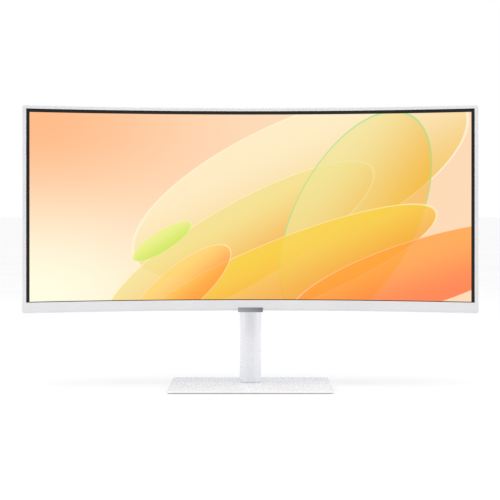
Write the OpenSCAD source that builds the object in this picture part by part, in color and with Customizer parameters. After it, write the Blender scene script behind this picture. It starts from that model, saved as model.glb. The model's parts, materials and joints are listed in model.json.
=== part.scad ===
// Curved wide computer monitor on a round telescopic stand that swivels, rises and tilts.
// The front of the screen faces -Y, +Z is up and the desk is the plane z = 0.

/* [Screen] */
// Radius of the screen's curve, seen from above
screen_radius = 1000; // [800:50:1800]
// Width of the lit picture, measured along the curve
screen_arc = 797.2; // [640:1:960]
// Height of the lit picture
screen_height = 333.7; // [270:1:400]
// Black border of the glass at each side
border_side = 5.5; // [3:0.1:9]
// Black border of the glass at the top
border_top = 6.0; // [3:0.1:9]
// Black line between the picture and the chin
border_bottom = 1.3; // [0.8:0.1:4]
// Thickness of the liquid-crystal cell
cell_thickness = 1.3; // [1:0.1:2]

/* [Housing] */
// Width of the white rim at each side
rim_side = 6.35; // [5:0.05:10]
// Width of the white rim at the top
rim_top = 5.8; // [5:0.05:10]
// Height of the chin below the black line
chin_height = 19.0; // [16:0.5:30]
// Corner radius of the housing, seen from the front
corner_radius = 4.0; // [3:0.5:8]
// How far the rim stands in front of the glass
rim_lip = 1.3; // [1:0.1:2]
// Depth behind the glass of the seam between bezel and rear cover
seam_depth = 5.0; // [4.4:0.1:7]
// Depth behind the glass of the rear cover along its edges
edge_depth = 15.0; // [12:0.5:20]
// Depth behind the glass of the rear cover at its middle
bulge_depth = 45.0; // [42:0.5:60]
// Wall of the rear cover
cover_wall = 2.2; // [1.6:0.1:3]
// Wall of the front bezel
bezel_wall = 1.8; // [1.2:0.1:2.4]
// Round of the chin's lower front edge
chin_round = 4.6; // [2:0.2:5]

/* [Stand] */
// Height of the screen housing's bottom edge above the desk
screen_lift = 141; // [130:0.5:180]
// Column's front line behind the tilt axis; less than 0 is in front of it
column_setback = -1; // [-3:0.5:12]
// Diameter of the outer column
column_d = 40; // [34:0.5:48]
// Wall of the outer column
column_wall = 2.0; // [1.5:0.1:3]
// Gap between the outer column's bore and the mast
mast_gap = 1.0; // [0.8:0.1:2]
// Wall of the mast
mast_wall = 2.5; // [2:0.1:3]
// Height of the outer column's top edge above the desk
column_top = 190; // [170:1:200]
// Height travel above the rest position
travel_up = 25; // [10:1:30]
// Overlap of mast and column at the highest position
mast_overlap = 47; // [35:1:60]

/* [Base] */
// Width of the base plate
base_w = 294; // [240:1:360]
// Depth of the base plate
base_d = 240; // [200:1:300]
// Thickness of the base plate
base_t = 3.0; // [2.5:0.1:5]
// Corner radius of the base plate
base_corner = 8; // [4:0.5:20]
// Gap between desk and base plate
foot_gap = 1.2; // [0.8:0.1:3]
// Diameter of each foot
foot_d = 18; // [12:1:26]

/* [Hinge and mount] */
// Distance of the tilt axis behind the housing's back
tilt_setback = 14; // [12:0.5:21]
// Radius of the tilt barrel
barrel_r = 13.2; // [11:0.2:13.4]
// Length of the tilt barrel
barrel_w = 40; // [32:1:48]
// Diameter of the tilt shaft
shaft_d = 8; // [6:0.5:10]
// Hole spacing of the wall-mount screws
mount_pitch = 100; // [100:25:100]
// Width and height of the mount recess
recess_w = 124; // [120:1:140]
// Depth of the mount recess
recess_depth = 8; // [7:0.5:10]
// Width and height of the stand's mount plate
plate_w = 84; // [76:1:88]

/* [Sockets] */
// Angle from the middle to each circuit board, about the screen's curve axis
board_angle = 8.5; // [8:0.1:11]
// Width of each circuit board
board_w = 156; // [150:1:170]
// Height of each circuit board
board_h = 104; // [80:1:120]
// Height of the socket wall above the housing's bottom edge
socket_wall_rise = 89; // [80:1:100]
// Height of the notch that takes the plugs
notch_h = 52; // [45:1:60]

/* [Controls] */
// Width of the badge pod under the chin
pod_w = 44.8; // [36:0.2:60]
// Height of the badge
badge_h = 8.3; // [7:0.1:12]
// Drop of the badge pod below the chin
pod_drop = 2.9; // [2:0.1:6]
// Diameter of the jog button
jog_d = 8.4; // [7:0.1:9]

/* [Hidden] */
$fn = 96;
// Facets of the drawn circle of the screen's curve
curve_fn = 240;

// Running gap between pieces that turn or slide on each other
run_gap = 0.05;
// Flats that make up a quarter round
corner_steps = 5;
edge_steps = 3;
// Gap between pieces that are fixed face to face
fit_gap = 0.1;
// Room between pieces that pass each other
pass_gap = 0.5;
// A cut's reach past the face that it opens
over = 1;

// Screen places. Depths are counted from the glass, towards the back
screen_y = -base_d / 2 + sag(half_w()) + rim_lip + pass_gap;
curve_y = screen_y - screen_radius;
half_angle = screen_arc / 2 / screen_radius * 180 / PI;
active_half = screen_radius * sin(half_angle);
window_half = active_half + border_side;
bottom_z = screen_lift;
window_z = bottom_z + chin_height;
active_z = window_z + border_bottom;
active_top = active_z + screen_height;
window_top = active_top + border_top;
top_z = window_top + rim_top;
middle_z = (bottom_z + top_z) / 2;

// The panel's layers, as depths behind the glass
cell_gap = 0.45;
cell_foot = 10;
sheet_depth = cell_thickness + 0.3;
sheet_pack = 1.2;
guide_depth = sheet_depth + sheet_pack + 0.2;
guide_t = 3.0;
reflector_depth = guide_depth + guide_t + 0.1;
reflector_t = 0.3;
tray_depth = reflector_depth + reflector_t + 0.2;
tray_t = 0.8;
tray_back = tray_depth + tray_t;

shell_wall = max(cover_wall, bezel_wall);
frame_low = bottom_z + chin_round + 0.4;
frame_half = half_w() - shell_wall - 0.3;
frame_high = top_z - shell_wall - 0.3;
tray_low = frame_low + 2.4;

// The stand's places
base_top = foot_gap + base_t;
foot_recess = 0.8;
foot_inset = 22;
back_y = screen_y + bulge_depth;
tilt_y = back_y + tilt_setback;
column_r = column_d / 2;
column_y = tilt_y + column_r + column_setback;
bore_r = column_r - column_wall;
mast_r = bore_r - mast_gap;
mast_bore = mast_r - mast_wall;
mast_bottom = column_top - travel_up - mast_overlap;
tilt_z = middle_z;
head_low = tilt_z - 30;
head_high = tilt_z + 24;
mast_top = tilt_z - shaft_d / 2 - 4.5;

// Swivel joint inside the column's foot, stacked upwards from the base plate
hub_t = 3.0;
hub_r = bore_r - 1.5;
hub_top = base_top + hub_t;
washer_t = 0.5;
socket_low = hub_top + washer_t;
socket_t = 8.8;
socket_high = socket_low + socket_t;
pivot_r = 7;
bush_wall = 2;
thread_r = 6;
wave_t = 0.75;
nut_t = 3.4;
nut_r = 9.2;
pivot_top = socket_high + wave_t + nut_t + 0.6;
swivel_range = 30;
lug_half = 10;
lug_in = 13.4;
lug_out = hub_r - 0.3;
lug_rise = 1.8;
hub_bolts = 3;
hub_bolt_circle = 11;
hub_bolt_r = 1.9;

// Lift spring inside the mast
post_front = 10.8;
post_t = 1.6;
post_half = min(6.5, sqrt(pow(mast_bore - pass_gap, 2) - pow(post_front + post_t, 2)));
post_top = column_top - 2;
strip_t = 0.35;
strip_half = post_half - 0.5;
strip_gap = 0.1;
coil_r = post_front - strip_gap - strip_t;
drum_core_r = 5.6;
drum_half = strip_half + 0.8;
axle_r = 2;
drum_z = mast_bottom + 27;
cheek_t = 1.8;
collar_h = 6;
collar_sleeve = 18;
key_w = 6;
key_depth = 1.3;

// Mount recess and the plate that hangs in it
recess_y = back_y - recess_depth;
plate_t = 3;
plate_y = recess_y + 0.2;
bracket_t = 2;
bracket_y = recess_y - cover_wall - 0.3 - bracket_t;
ear_t = 3;
ear_in = barrel_w / 2 + 1.5;
ear_out = ear_in + ear_t;
flange_t = 2.5;
flange_y = plate_y + plate_t + fit_gap;
disc_count = 3;
disc_t = 0.8;
disc_end = ear_out + fit_gap + disc_count * (disc_t + fit_gap);
tilt_nut_t = 4.2;
pod_end = disc_end + tilt_nut_t + 2.6;
hook_x = 24;
hook_w = 10;
hook_z = tilt_z + plate_w / 2 - 9;
latch_travel = 3;
latch_half = 11;
tooth_z = tilt_z - plate_w / 2 + 6;
tooth_h = 3;
tooth_half = 7;

// Boards and sockets
wall_z = bottom_z + socket_wall_rise;
board_t = 1.6;
board_depth = 16.8;
board_back = board_depth + board_t;
notch_depth = 16;
notch_half = board_w / 2 + 5;
notch_low = wall_z - cover_wall - notch_h;

// Badge pod and jog button
pod_depth = 15.4;
pod_rise = badge_h - pod_drop;
pod_wall = 1.2;
badge_t = 0.8;
jog_depth = 7.6;
jog_pivot_z = bottom_z + 7.6;
jog_low = bottom_z - pod_drop - 0.5;
jog_board_z = jog_pivot_z + 3.4;
jog_board_half = 14;
jog_bore = 3.75;

function half_w() = screen_radius * sin(screen_arc / 2 / screen_radius * 180 / PI) + border_side + rim_side;
function sag(x) = screen_radius - sqrt(screen_radius * screen_radius - x * x);
function ease(t) = t * t * (3 - 2 * t);
function arc_points(cx, cy, r, from, to, n) =
    [for (i = [0:n]) let (a = from + (to - from) * i / n) [cx + r * cos(a), cy + r * sin(a)]];

// ---- Shared shapes ----

// Rectangle with round corners, about the origin
module round_rect(w, h, r) {
    square([w - 2 * r, h], center = true);
    square([w, h - 2 * r], center = true);
    for (x = [-1, 1], y = [-1, 1]) {
        translate([x * (w / 2 - r), y * (h / 2 - r)]) circle(r);
    }
}

// What a round corner takes away from a square one, as a cutter along Y at the origin
module corner_cutter(r, y0, y1) {
    // the first and last flats run on past the block's faces
    run = over / tan(45 / corner_steps);
    flats = arc_points(r, r, r, 270, 180, corner_steps);
    translate([0, y1, 0]) rotate([90, 0, 0]) linear_extrude(y1 - y0) {
        polygon(concat([[-over, r + run], [-over, -over], [r + run, -over]],
            [for (i = [1:corner_steps - 1]) flats[i]]));
    }
}

// The four corner cutters of a rectangle seen from the front
module corner_cutters(half, z0, z1, r, y0, y1) {
    for (x = [0, 1], z = [0, 1]) {
        mirror([x, 0, 0]) translate([-half, 0, z == 0 ? z0 : z1]) mirror([0, 0, z]) corner_cutter(r, y0, y1);
    }
}

// Block with round corners in X and Z
module slab(half, z0, z1, r, y0, y1) {
    difference() {
        box(-half, half, y0, y1, z0, z1);
        corner_cutters(half, z0, z1, r, y0 - over, y1 + over);
    }
}

// Curved sheet between two depths behind the glass, with the outline of a rectangle seen from the front
module bent(d0, d1, half, z0, z1, r = 0) {
    y0 = screen_y - sag(half) - 10;
    y1 = screen_y + d1 + 10;
    difference() {
        intersection() {
            translate([0, curve_y, z0]) difference() {
                cylinder(r = screen_radius + d1, h = z1 - z0, $fn = curve_fn);
                translate([0, 0, -over]) {
                    cylinder(r = screen_radius + d0, h = z1 - z0 + 2 * over, $fn = curve_fn);
                }
            }
            box(-half, half, y0, y1, z0 - over, z1 + over);
        }
        if (r > 0) corner_cutters(half, z0, z1, r, y0, y1);
    }
}

// Places children at an angle round the curve: x runs along the screen, y is the depth behind the glass
module on_arc(angle) {
    translate([0, curve_y, 0]) rotate([0, 0, -angle]) translate([0, screen_radius, 0]) children();
}

// Turns a profile of [depth, z] points about the screen's curve axis
module revolved(points, half_sweep) {
    translate([0, curve_y, 0]) rotate([0, 0, 90 - half_sweep]) {
        rotate_extrude(angle = 2 * half_sweep, $fn = curve_fn) {
            polygon([for (p = points) [screen_radius + p[0], p[1]]]);
        }
    }
}

module box(x0, x1, y0, y1, z0, z1) {
    translate([x0, y0, z0]) cube([x1 - x0, y1 - y0, z1 - z0]);
}

// Cylinder along X from x0 to x1 at a place in Y and Z
module bar_x(x0, x1, r, y, z) {
    translate([x0, y, z]) rotate([0, 90, 0]) cylinder(r = r, h = x1 - x0);
}

module at_column() {
    translate([0, column_y, 0]) children();
}

module ring(r_in, r_out, z0, z1) {
    translate([0, 0, z0]) difference() {
        cylinder(r = r_out, h = z1 - z0);
        translate([0, 0, -over]) cylinder(r = r_in, h = z1 - z0 + 2 * over);
    }
}

// Sector of a ring, centred on an angle
module ring_sector(r_in, r_out, z0, z1, centre, half) {
    translate([0, 0, z0]) rotate([0, 0, centre - half])
        rotate_extrude(angle = 2 * half) translate([r_in, 0]) square([r_out - r_in, z1 - z0]);
}

// Closed coil of round wire up Z, as rings of points joined into one surface
module coil(radius, wire, height, turns, steps = 20, sides = 8) {
    rings = turns * steps;
    points = [
        for (i = [0:rings], s = [0:sides - 1])
            let (a = 360 * i / steps, b = 360 * s / sides, q = radius + wire * cos(b))
            [q * cos(a), q * sin(a), height * i / rings + wire * sin(b)]
    ];
    walls = [
        for (i = [0:rings - 1], s = [0:sides - 1])
            let (t = (s + 1) % sides)
            each [
                [i * sides + s, i * sides + t, (i + 1) * sides + t],
                [i * sides + s, (i + 1) * sides + t, (i + 1) * sides + s]
            ]
    ];
    first = [[for (s = [sides - 1:-1:0]) s]];
    last = [[for (s = [0:sides - 1]) rings * sides + s]];
    polyhedron(points = points, faces = concat(walls, first, last), convexity = 10);
}

// ---- Base ----

foot_x = base_w / 2 - foot_inset;
foot_y = base_d / 2 - foot_inset;
foot_places = [for (x = [-1, 1], y = [-1, 1]) [x * foot_x, y * foot_y]];
hub_bolt_angles = [for (i = [0:hub_bolts - 1]) 30 + 360 * i / hub_bolts];

module base_plate() {
    color("#f0f1f3") difference() {
        translate([0, 0, foot_gap]) linear_extrude(base_t) round_rect(base_w, base_d, base_corner);
        for (p = foot_places) {
            translate([p[0], p[1], foot_gap - over]) {
                cylinder(d = foot_d + 2 * fit_gap, h = over + foot_recess + fit_gap);
            }
        }
        at_column() for (a = hub_bolt_angles) rotate([0, 0, a]) translate([hub_bolt_circle, 0, 0]) {
            translate([0, 0, foot_gap - over]) cylinder(r = hub_bolt_r + 0.3, h = base_t + 2 * over);
            translate([0, 0, foot_gap - 0.01]) cylinder(r1 = 4.1, r2 = hub_bolt_r + 0.3, h = 2.0);
        }
    }
}

module rubber_feet() {
    color("#55585c") for (p = foot_places) {
        translate([p[0], p[1], 0]) cylinder(d = foot_d, h = foot_gap + foot_recess);
    }
}

module swivel_hub() {
    color("#9a9ea3") at_column() difference() {
        union() {
            translate([0, 0, base_top]) cylinder(r = hub_r, h = hub_t);
            translate([0, 0, base_top]) cylinder(r = pivot_r, h = socket_high - base_top + wave_t / 2);
            translate([0, 0, base_top]) cylinder(r = thread_r, h = pivot_top - base_top);
            ring_sector(lug_in, lug_out, base_top + 1, hub_top + lug_rise, 90, lug_half);
        }
        for (a = hub_bolt_angles) rotate([0, 0, a]) {
            translate([hub_bolt_circle, 0, base_top - over]) {
                cylinder(r = hub_bolt_r + run_gap, h = hub_t + 2 * over);
            }
        }
    }
}

module hub_screws() {
    color("#b9bcc0") at_column() for (a = hub_bolt_angles) rotate([0, 0, a]) {
        translate([hub_bolt_circle, 0, 0]) difference() {
            union() {
                translate([0, 0, foot_gap + 0.1]) cylinder(r1 = 3.8, r2 = hub_bolt_r, h = 1.75);
                translate([0, 0, foot_gap + 0.1]) cylinder(r = hub_bolt_r, h = hub_top - foot_gap - 0.3);
            }
            translate([0, 0, foot_gap - over]) cylinder(r = 1.3, h = over + 1.1, $fn = 6);
        }
    }
}

// Friction washer under the socket, and the spring washer that loads it from above
module swivel_washers() {
    color("#8d9196") at_column() {
        ring(pivot_r + bush_wall + 0.3, lug_in - 0.4, hub_top + 0.02, socket_low - 0.02);
        ring(pivot_r + 0.1, nut_r, socket_high + 0.05, socket_high + wave_t);
    }
}

module swivel_nut() {
    low = socket_high + wave_t + 0.05;
    color("#b0b3b8") at_column() difference() {
        translate([0, 0, low]) cylinder(r = nut_r, h = nut_t, $fn = 6);
        translate([0, 0, low - over]) cylinder(r = thread_r + run_gap, h = nut_t + 2 * over);
    }
}

// ---- Column, which turns on the base ----

column_low = base_top + 0.4;
socket_screw_z = (socket_low + socket_high) / 2;
socket_screw_angles = [50, 130];

module outer_column() {
    color("#eceef1") at_column() difference() {
        ring(bore_r, column_r, column_low, column_top);
        for (a = socket_screw_angles) rotate([0, 0, a]) translate([bore_r - over, 0, socket_screw_z])
            rotate([0, 90, 0]) cylinder(r = 2.1, h = column_wall + 2 * over);
        // clip slot at the back
        box(-4, 4, bore_r - over, column_r + over, 60, 72);
    }
}

module column_socket() {
    color("#8d9196") at_column() difference() {
        ring(pivot_r + bush_wall + run_gap, bore_r - run_gap, socket_low, socket_high);
        // room for the hub's stop lug over the swivel range
        ring_sector(lug_in - 0.3, bore_r + over, socket_low - over, hub_top + lug_rise + 0.5, 90,
            lug_half + swivel_range + 0.5);
        for (a = socket_screw_angles) rotate([0, 0, a]) {
            translate([pivot_r + bush_wall + 2, 0, socket_screw_z]) rotate([0, 90, 0]) {
                cylinder(r = 1.5, h = bore_r);
            }
        }
        translate([0, post_front + post_t + 1.6, socket_high - 4]) cylinder(r = 1.3, h = 4 + over);
    }
}

module swivel_bush() {
    color("#e9e6da") at_column() {
        ring(pivot_r + run_gap, pivot_r + bush_wall, socket_low + 0.02, socket_high - 0.02);
    }
}

module socket_screws() {
    color("#b9bcc0") at_column() for (a = socket_screw_angles) rotate([0, 0, a]) {
        translate([0, 0, socket_screw_z]) rotate([0, 90, 0]) difference() {
            union() {
                translate([0, 0, pivot_r + bush_wall + 3]) {
                    cylinder(r = 1.4, h = bore_r - pivot_r - bush_wall - 3);
                }
                translate([0, 0, bore_r - 0.02]) cylinder(r = 1.95, h = column_wall - 0.1);
            }
            translate([0, 0, column_r - 1]) cylinder(r = 0.9, h = over + 1, $fn = 6);
        }
    }
}

module column_collar() {
    color("#d9dbde") at_column() {
        ring(mast_r + 0.12, column_r, column_top + fit_gap / 2, column_top + collar_h);
        ring(mast_r + 0.12, bore_r - fit_gap / 2, column_top - collar_sleeve, column_top + fit_gap);
        // key that runs in the mast's groove
        box(-key_w / 2 + 0.15, key_w / 2 - 0.15, mast_r - key_depth + 0.15, mast_r + 0.5,
            column_top - collar_sleeve, column_top + collar_h);
    }
}

module spring_post() {
    low = socket_high + 0.05;
    foot_t = 1.2;
    color("#a4a8ad") at_column() difference() {
        union() {
            box(-post_half, post_half, post_front, post_front + post_t, low, post_top);
            intersection() {
                box(-post_half, post_half, post_front, bore_r, low, low + foot_t);
                cylinder(r = bore_r - pass_gap, h = low + foot_t + over);
            }
        }
        translate([0, post_front + post_t + 1.6, low - over]) cylinder(r = 1.35, h = foot_t + 2 * over);
        translate([0, 0, post_top - 5]) rotate([-90, 0, 0]) cylinder(r = 1.25, h = bore_r);
    }
}

module spring_anchor() {
    front = coil_r - 1.3;
    foot_z = socket_high + 0.05 + 1.2;
    color("#b9bcc0") at_column() {
        // clamp plate on the strip's end, with its screw
        difference() {
            box(-strip_half, strip_half, front, coil_r - 0.05, post_top - 9, post_top - 1);
            translate([0, 0, post_top - 5]) rotate([-90, 0, 0]) cylinder(r = 1.3, h = bore_r);
        }
        translate([0, 0, post_top - 5]) rotate([-90, 0, 0]) {
            translate([0, 0, front - 1]) cylinder(r = 2.2, h = 0.95);
            translate([0, 0, front - 0.5]) cylinder(r = 1.2, h = post_front + post_t - front + 0.5);
        }
        // screw that holds the post's foot
        translate([0, post_front + post_t + 1.6, 0]) {
            translate([0, 0, foot_z + 0.02]) cylinder(r = 1.5, h = 0.5);
            translate([0, 0, foot_z - 4]) cylinder(r = 1.2, h = 4.1);
        }
    }
}

module lift_spring_strip() {
    color("#c9ccd0") at_column() difference() {
        box(-strip_half, strip_half, coil_r + 0.01, coil_r + strip_t - 0.01, drum_z, post_top - 0.5);
        translate([0, 0, post_top - 5]) rotate([-90, 0, 0]) cylinder(r = 1.35, h = bore_r);
    }
}

// Snap-on holder behind the column for the leads
module cable_clip() {
    low = 56;
    high = 76;
    reach = 15;
    loop_y = column_r + 2 + reach / 2;
    color("#dfe1e4") at_column() difference() {
        union() {
            // pad that follows the column, and the plug in its slot
            intersection() {
                ring(column_r + fit_gap, column_r + 2.2, low, high);
                box(-9, 9, 0, column_r + 5, low, high);
            }
            box(-3.8, 3.8, bore_r + 0.1, column_r + 1, 60.2, 71.8);
            translate([0, loop_y, low]) linear_extrude(high - low) round_rect(26, reach + 4, 6);
        }
        translate([0, loop_y, low - over]) linear_extrude(high - low + 2 * over) round_rect(22, reach, 4.5);
        // mouth at the back
        box(-4, 4, loop_y + 2, loop_y + reach, low - over, high + over);
        ring(0, column_r + fit_gap, low - over, 60.2);
        ring(0, column_r + fit_gap, 71.8, high + over);
    }
}

// ---- Mast, which rises in the column ----

module mast_tube() {
    color("#e3e5e8") at_column() difference() {
        ring(mast_bore, mast_r, mast_bottom, mast_top);
        box(-key_w / 2, key_w / 2, mast_r - key_depth, mast_r + over, mast_bottom - over, mast_top + over);
        bar_x(-mast_r - over, mast_r + over, axle_r + run_gap, 0, drum_z);
    }
}

module mast_glide() {
    color("#e9e6da") at_column() difference() {
        union() {
            ring(mast_bore - 1.5, bore_r - 0.1, mast_bottom - 4, mast_bottom - 0.05);
            ring(mast_bore - 1.5, mast_bore - 0.05, mast_bottom - 1, mast_bottom + 9);
        }
        // room for the spring post
        box(-post_half - 0.4, post_half + 0.4, post_front - 0.7, post_front + post_t + 0.5,
            mast_bottom - 4 - over, mast_bottom + 9 + over);
    }
}

module spring_cradle() {
    low = mast_bottom + 9.1;
    cheek_in = drum_half + 0.3;
    cheek_out = cheek_in + cheek_t;
    depth = min(8, sqrt(pow(mast_bore - 0.2, 2) - pow(cheek_out, 2)));
    color("#7d8186") at_column() difference() {
        union() {
            box(-cheek_out, cheek_out, -depth, depth, low, low + 2.4);
            for (s = [-1, 1]) {
                box(min(s * cheek_in, s * cheek_out), max(s * cheek_in, s * cheek_out), -depth, depth,
                    low, drum_z + 7);
            }
        }
        bar_x(-mast_r, mast_r, axle_r + run_gap, 0, drum_z);
    }
}

module drum_axle() {
    color("#c3c6ca") at_column() bar_x(-mast_r + 0.3, mast_r - 0.3, axle_r, 0, drum_z);
}

module mast_head() {
    color("#e8eaed") difference() {
        union() {
            at_column() translate([0, 0, head_low]) cylinder(r = column_r, h = head_high - head_low);
            bar_x(-barrel_w / 2, barrel_w / 2, barrel_r, tilt_y, tilt_z);
            box(-15, 15, tilt_y, column_y - mast_r, tilt_z - barrel_r + 2, tilt_z + barrel_r - 2);
        }
        at_column() translate([0, 0, head_low - over]) {
            cylinder(r = mast_r + run_gap, h = mast_top + 0.1 - head_low + over);
        }
        bar_x(-barrel_w / 2 - over, barrel_w / 2 + over, shaft_d / 2 + run_gap, tilt_y, tilt_z);
        at_column() translate([0, 0, head_high - 4 - over]) cylinder(r = 2.05, h = 6);
        // seat of the cap
        at_column() translate([0, 0, head_high - 1.6]) cylinder(r = column_r - 3, h = 3);
    }
}

module mast_head_cap() {
    color("#f0f1f3") at_column() difference() {
        union() {
            translate([0, 0, head_high - 1.5]) cylinder(r = column_r - 3.1, h = 2.3);
            translate([0, 0, head_high + 0.1]) cylinder(r1 = column_r, r2 = column_r - 1.6, h = 1.6);
            translate([0, 0, head_high - 3.9]) cylinder(r = 1.95, h = 4);
        }
    }
}

// ---- Spring drum, which turns as the mast rises ----

module spring_drum() {
    color("#e9e6da") at_column() difference() {
        bar_x(-drum_half, drum_half, drum_core_r, 0, drum_z);
        bar_x(-drum_half - over, drum_half + over, axle_r + run_gap, 0, drum_z);
    }
}

module lift_spring_coil() {
    color("#aeb2b7") at_column() difference() {
        bar_x(-strip_half, strip_half, coil_r, 0, drum_z);
        bar_x(-strip_half - over, strip_half + over, drum_core_r + run_gap, 0, drum_z);
    }
}

// ---- Tilt hinge and quick-release mount, which tilt with the screen ----

module tilt_shaft() {
    head_x = -ear_out - fit_gap;
    color("#a9adb2") {
        bar_x(head_x - 3, disc_end + tilt_nut_t + 1, shaft_d / 2, tilt_y, tilt_z);
        bar_x(head_x - 4, head_x, shaft_d / 2 + 3, tilt_y, tilt_z);
    }
}

module tilt_ring(x0, x1, r) {
    difference() {
        bar_x(x0, x1, r, tilt_y, tilt_z);
        bar_x(x0 - over, x1 + over, shaft_d / 2 + run_gap, tilt_y, tilt_z);
    }
}

module tilt_friction_washers() {
    color("#b08d4f") for (s = [-1, 1]) {
        a = s * (barrel_w / 2 + 0.1);
        b = s * (ear_in - 0.1);
        tilt_ring(min(a, b), max(a, b), shaft_d / 2 + 5);
    }
}

module tilt_disc_springs() {
    color("#8d9196") for (i = [0:disc_count - 1]) {
        x = ear_out + fit_gap + i * (disc_t + fit_gap);
        tilt_ring(x, x + disc_t, shaft_d / 2 + 4);
    }
}

module tilt_nut() {
    color("#b0b3b8") difference() {
        translate([disc_end, tilt_y, tilt_z]) rotate([0, 90, 0]) {
            cylinder(r = shaft_d / 2 + 3.4, h = tilt_nut_t, $fn = 6);
        }
        bar_x(disc_end - over, disc_end + tilt_nut_t + over, shaft_d / 2 + run_gap, tilt_y, tilt_z);
    }
}

flange_rise = 17;
mount_bolt_x = ear_out - ear_t - 5.5;
mount_bolt_z = flange_rise - 4.5;
mount_bolt_places = [for (x = [-1, 1], z = [-1, 1]) [x * mount_bolt_x, tilt_z + z * mount_bolt_z]];

module hinge_bracket() {
    ear_r = shaft_d / 2 + 5.5;
    color("#8d9196") difference() {
        union() {
            box(-ear_out, ear_out, flange_y, flange_y + flange_t,
                tilt_z - flange_rise, tilt_z + flange_rise);
            for (s = [-1, 1]) {
                x0 = min(s * ear_in, s * ear_out);
                bar_x(x0, x0 + ear_t, ear_r, tilt_y, tilt_z);
                box(x0, x0 + ear_t, flange_y, tilt_y, tilt_z - ear_r, tilt_z + ear_r);
            }
        }
        bar_x(-ear_out - over, ear_out + over, shaft_d / 2 + run_gap, tilt_y, tilt_z);
        for (p = mount_bolt_places) translate([p[0], flange_y - over, p[1]]) rotate([-90, 0, 0]) {
            cylinder(r = 2.1, h = flange_t + 2 * over);
        }
        // room for the barrel in front of the flange
        bar_x(-barrel_w / 2 - 0.6, barrel_w / 2 + 0.6, barrel_r + 0.3, tilt_y, tilt_z);
    }
}

module mount_plate() {
    lip_y = bracket_y - 2.2;
    color("#9a9ea3") difference() {
        union() {
            slab(plate_w / 2, tilt_z - plate_w / 2, tilt_z + plate_w / 2, 6, plate_y, plate_y + plate_t);
            for (s = [-1, 1]) translate([s * hook_x, 0, 0]) {
                box(-hook_w / 2, hook_w / 2, lip_y, plate_y + 0.5, hook_z, hook_z + 2.5);
                box(-hook_w / 2, hook_w / 2, lip_y, bracket_y - 0.3, hook_z, hook_z + 5.5);
            }
        }
        for (p = mount_bolt_places) translate([p[0], plate_y - over, p[1]]) rotate([-90, 0, 0]) {
            cylinder(r = 1.75, h = plate_t + 2 * over);
        }
        // slot of the latch tooth
        box(-tooth_half - 0.4, tooth_half + 0.4, plate_y - over, plate_y + plate_t + over,
            tooth_z - 0.4, tooth_z + tooth_h + latch_travel + 0.4);
    }
}

module mount_screws() {
    y = flange_y + flange_t + 0.05;
    color("#b9bcc0") for (p = mount_bolt_places) translate([p[0], 0, p[1]]) difference() {
        union() {
            translate([0, plate_y + 0.2, 0]) rotate([-90, 0, 0]) cylinder(r = 1.7, h = y - plate_y);
            translate([0, y, 0]) rotate([-90, 0, 0]) cylinder(r = 3.0, h = 1.4);
        }
        translate([0, y + 0.6, 0]) rotate([-90, 0, 0]) cylinder(r = 1.1, h = 3, $fn = 6);
    }
}

shroud_half = plate_w / 2 + 1.5;
shroud_back_y = flange_y + flange_t + 2.4;

// White cover over the plate, with a round cap at each end of the tilt barrel
module mount_cover() {
    wall = 1.6;
    cap_r = barrel_r;
    cap_in = barrel_w / 2 + 0.4;
    color("#f0f1f3") difference() {
        union() {
            slab(shroud_half, tilt_z - shroud_half, tilt_z + shroud_half, 7.5, plate_y + 1, shroud_back_y);
            for (s = [-1, 1]) {
                x0 = min(s * cap_in, s * pod_end);
                bar_x(x0, x0 + pod_end - cap_in, cap_r, tilt_y, tilt_z);
                box(x0, x0 + pod_end - cap_in, shroud_back_y - 0.5, tilt_y, tilt_z - cap_r, tilt_z + cap_r);
            }
        }
        // inside of the plate part
        slab(plate_w / 2 + 0.2, tilt_z - plate_w / 2 - 0.2, tilt_z + plate_w / 2 + 0.2, 6.2,
            plate_y, plate_y + plate_t + 0.1);
        slab(plate_w / 2 - 2, tilt_z - plate_w / 2 + 2, tilt_z + plate_w / 2 - 2, 4,
            plate_y, shroud_back_y - wall);
        // inside of the caps, and the window for the barrel and bracket
        box(-ear_out - 0.2, ear_out + 0.2, plate_y, tilt_y, tilt_z - 12, tilt_z + 12);
        bar_x(-pod_end + wall, pod_end - wall, cap_r - wall, tilt_y, tilt_z);
        box(-pod_end + wall, pod_end - wall, plate_y, tilt_y, tilt_z - cap_r + wall, tilt_z + cap_r - wall);
        bar_x(-cap_in, cap_in, barrel_r + 0.4, tilt_y, tilt_z);
        for (p = mount_bolt_places) translate([p[0], shroud_back_y - wall - 1, p[1]]) rotate([-90, 0, 0]) {
            cylinder(r = 3.3, h = wall + 1 + over);
        }
        // way out for the release button
        box(-latch_half - 0.4, latch_half + 0.4, plate_y + plate_t, shroud_back_y - wall,
            tilt_z - shroud_half - over, tilt_z - plate_w / 2 + 3);
    }
}

latch_y0 = plate_y + plate_t + 0.2;
latch_y1 = latch_y0 + 1.2;
latch_low = tilt_z - shroud_half + 1.5;
latch_high = tilt_z - flange_rise - latch_travel - 2.5;

module release_button() {
    y1 = shroud_back_y - 1.9;
    low = tilt_z - shroud_half - latch_travel - 1.5;
    color("#c9ccd0") box(-latch_half, latch_half, latch_y0, y1, low, latch_low - 0.05);
}

module release_latch() {
    color("#9a9ea3") {
        box(-latch_half + 1, latch_half - 1, latch_y0, latch_y1, latch_low, latch_high);
        box(-tooth_half, tooth_half, bracket_y - 1.5, latch_y0 + 0.5, tooth_z, tooth_z + tooth_h);
        // tooth tip that catches under the bracket
        box(-tooth_half, tooth_half, bracket_y - 1.5, bracket_y - 0.3, tooth_z - 2.5, tooth_z + tooth_h);
    }
}

module release_spring() {
    low = latch_high + 0.5;
    color("#c3c6ca") for (s = [-1, 1]) translate([s * 6, (latch_y0 + latch_y1) / 2 + 0.15, low]) {
        coil(0.45, 0.16, latch_travel + 1.6, 5, 12, 6);
    }
}

// ---- Screen housing ----

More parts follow.
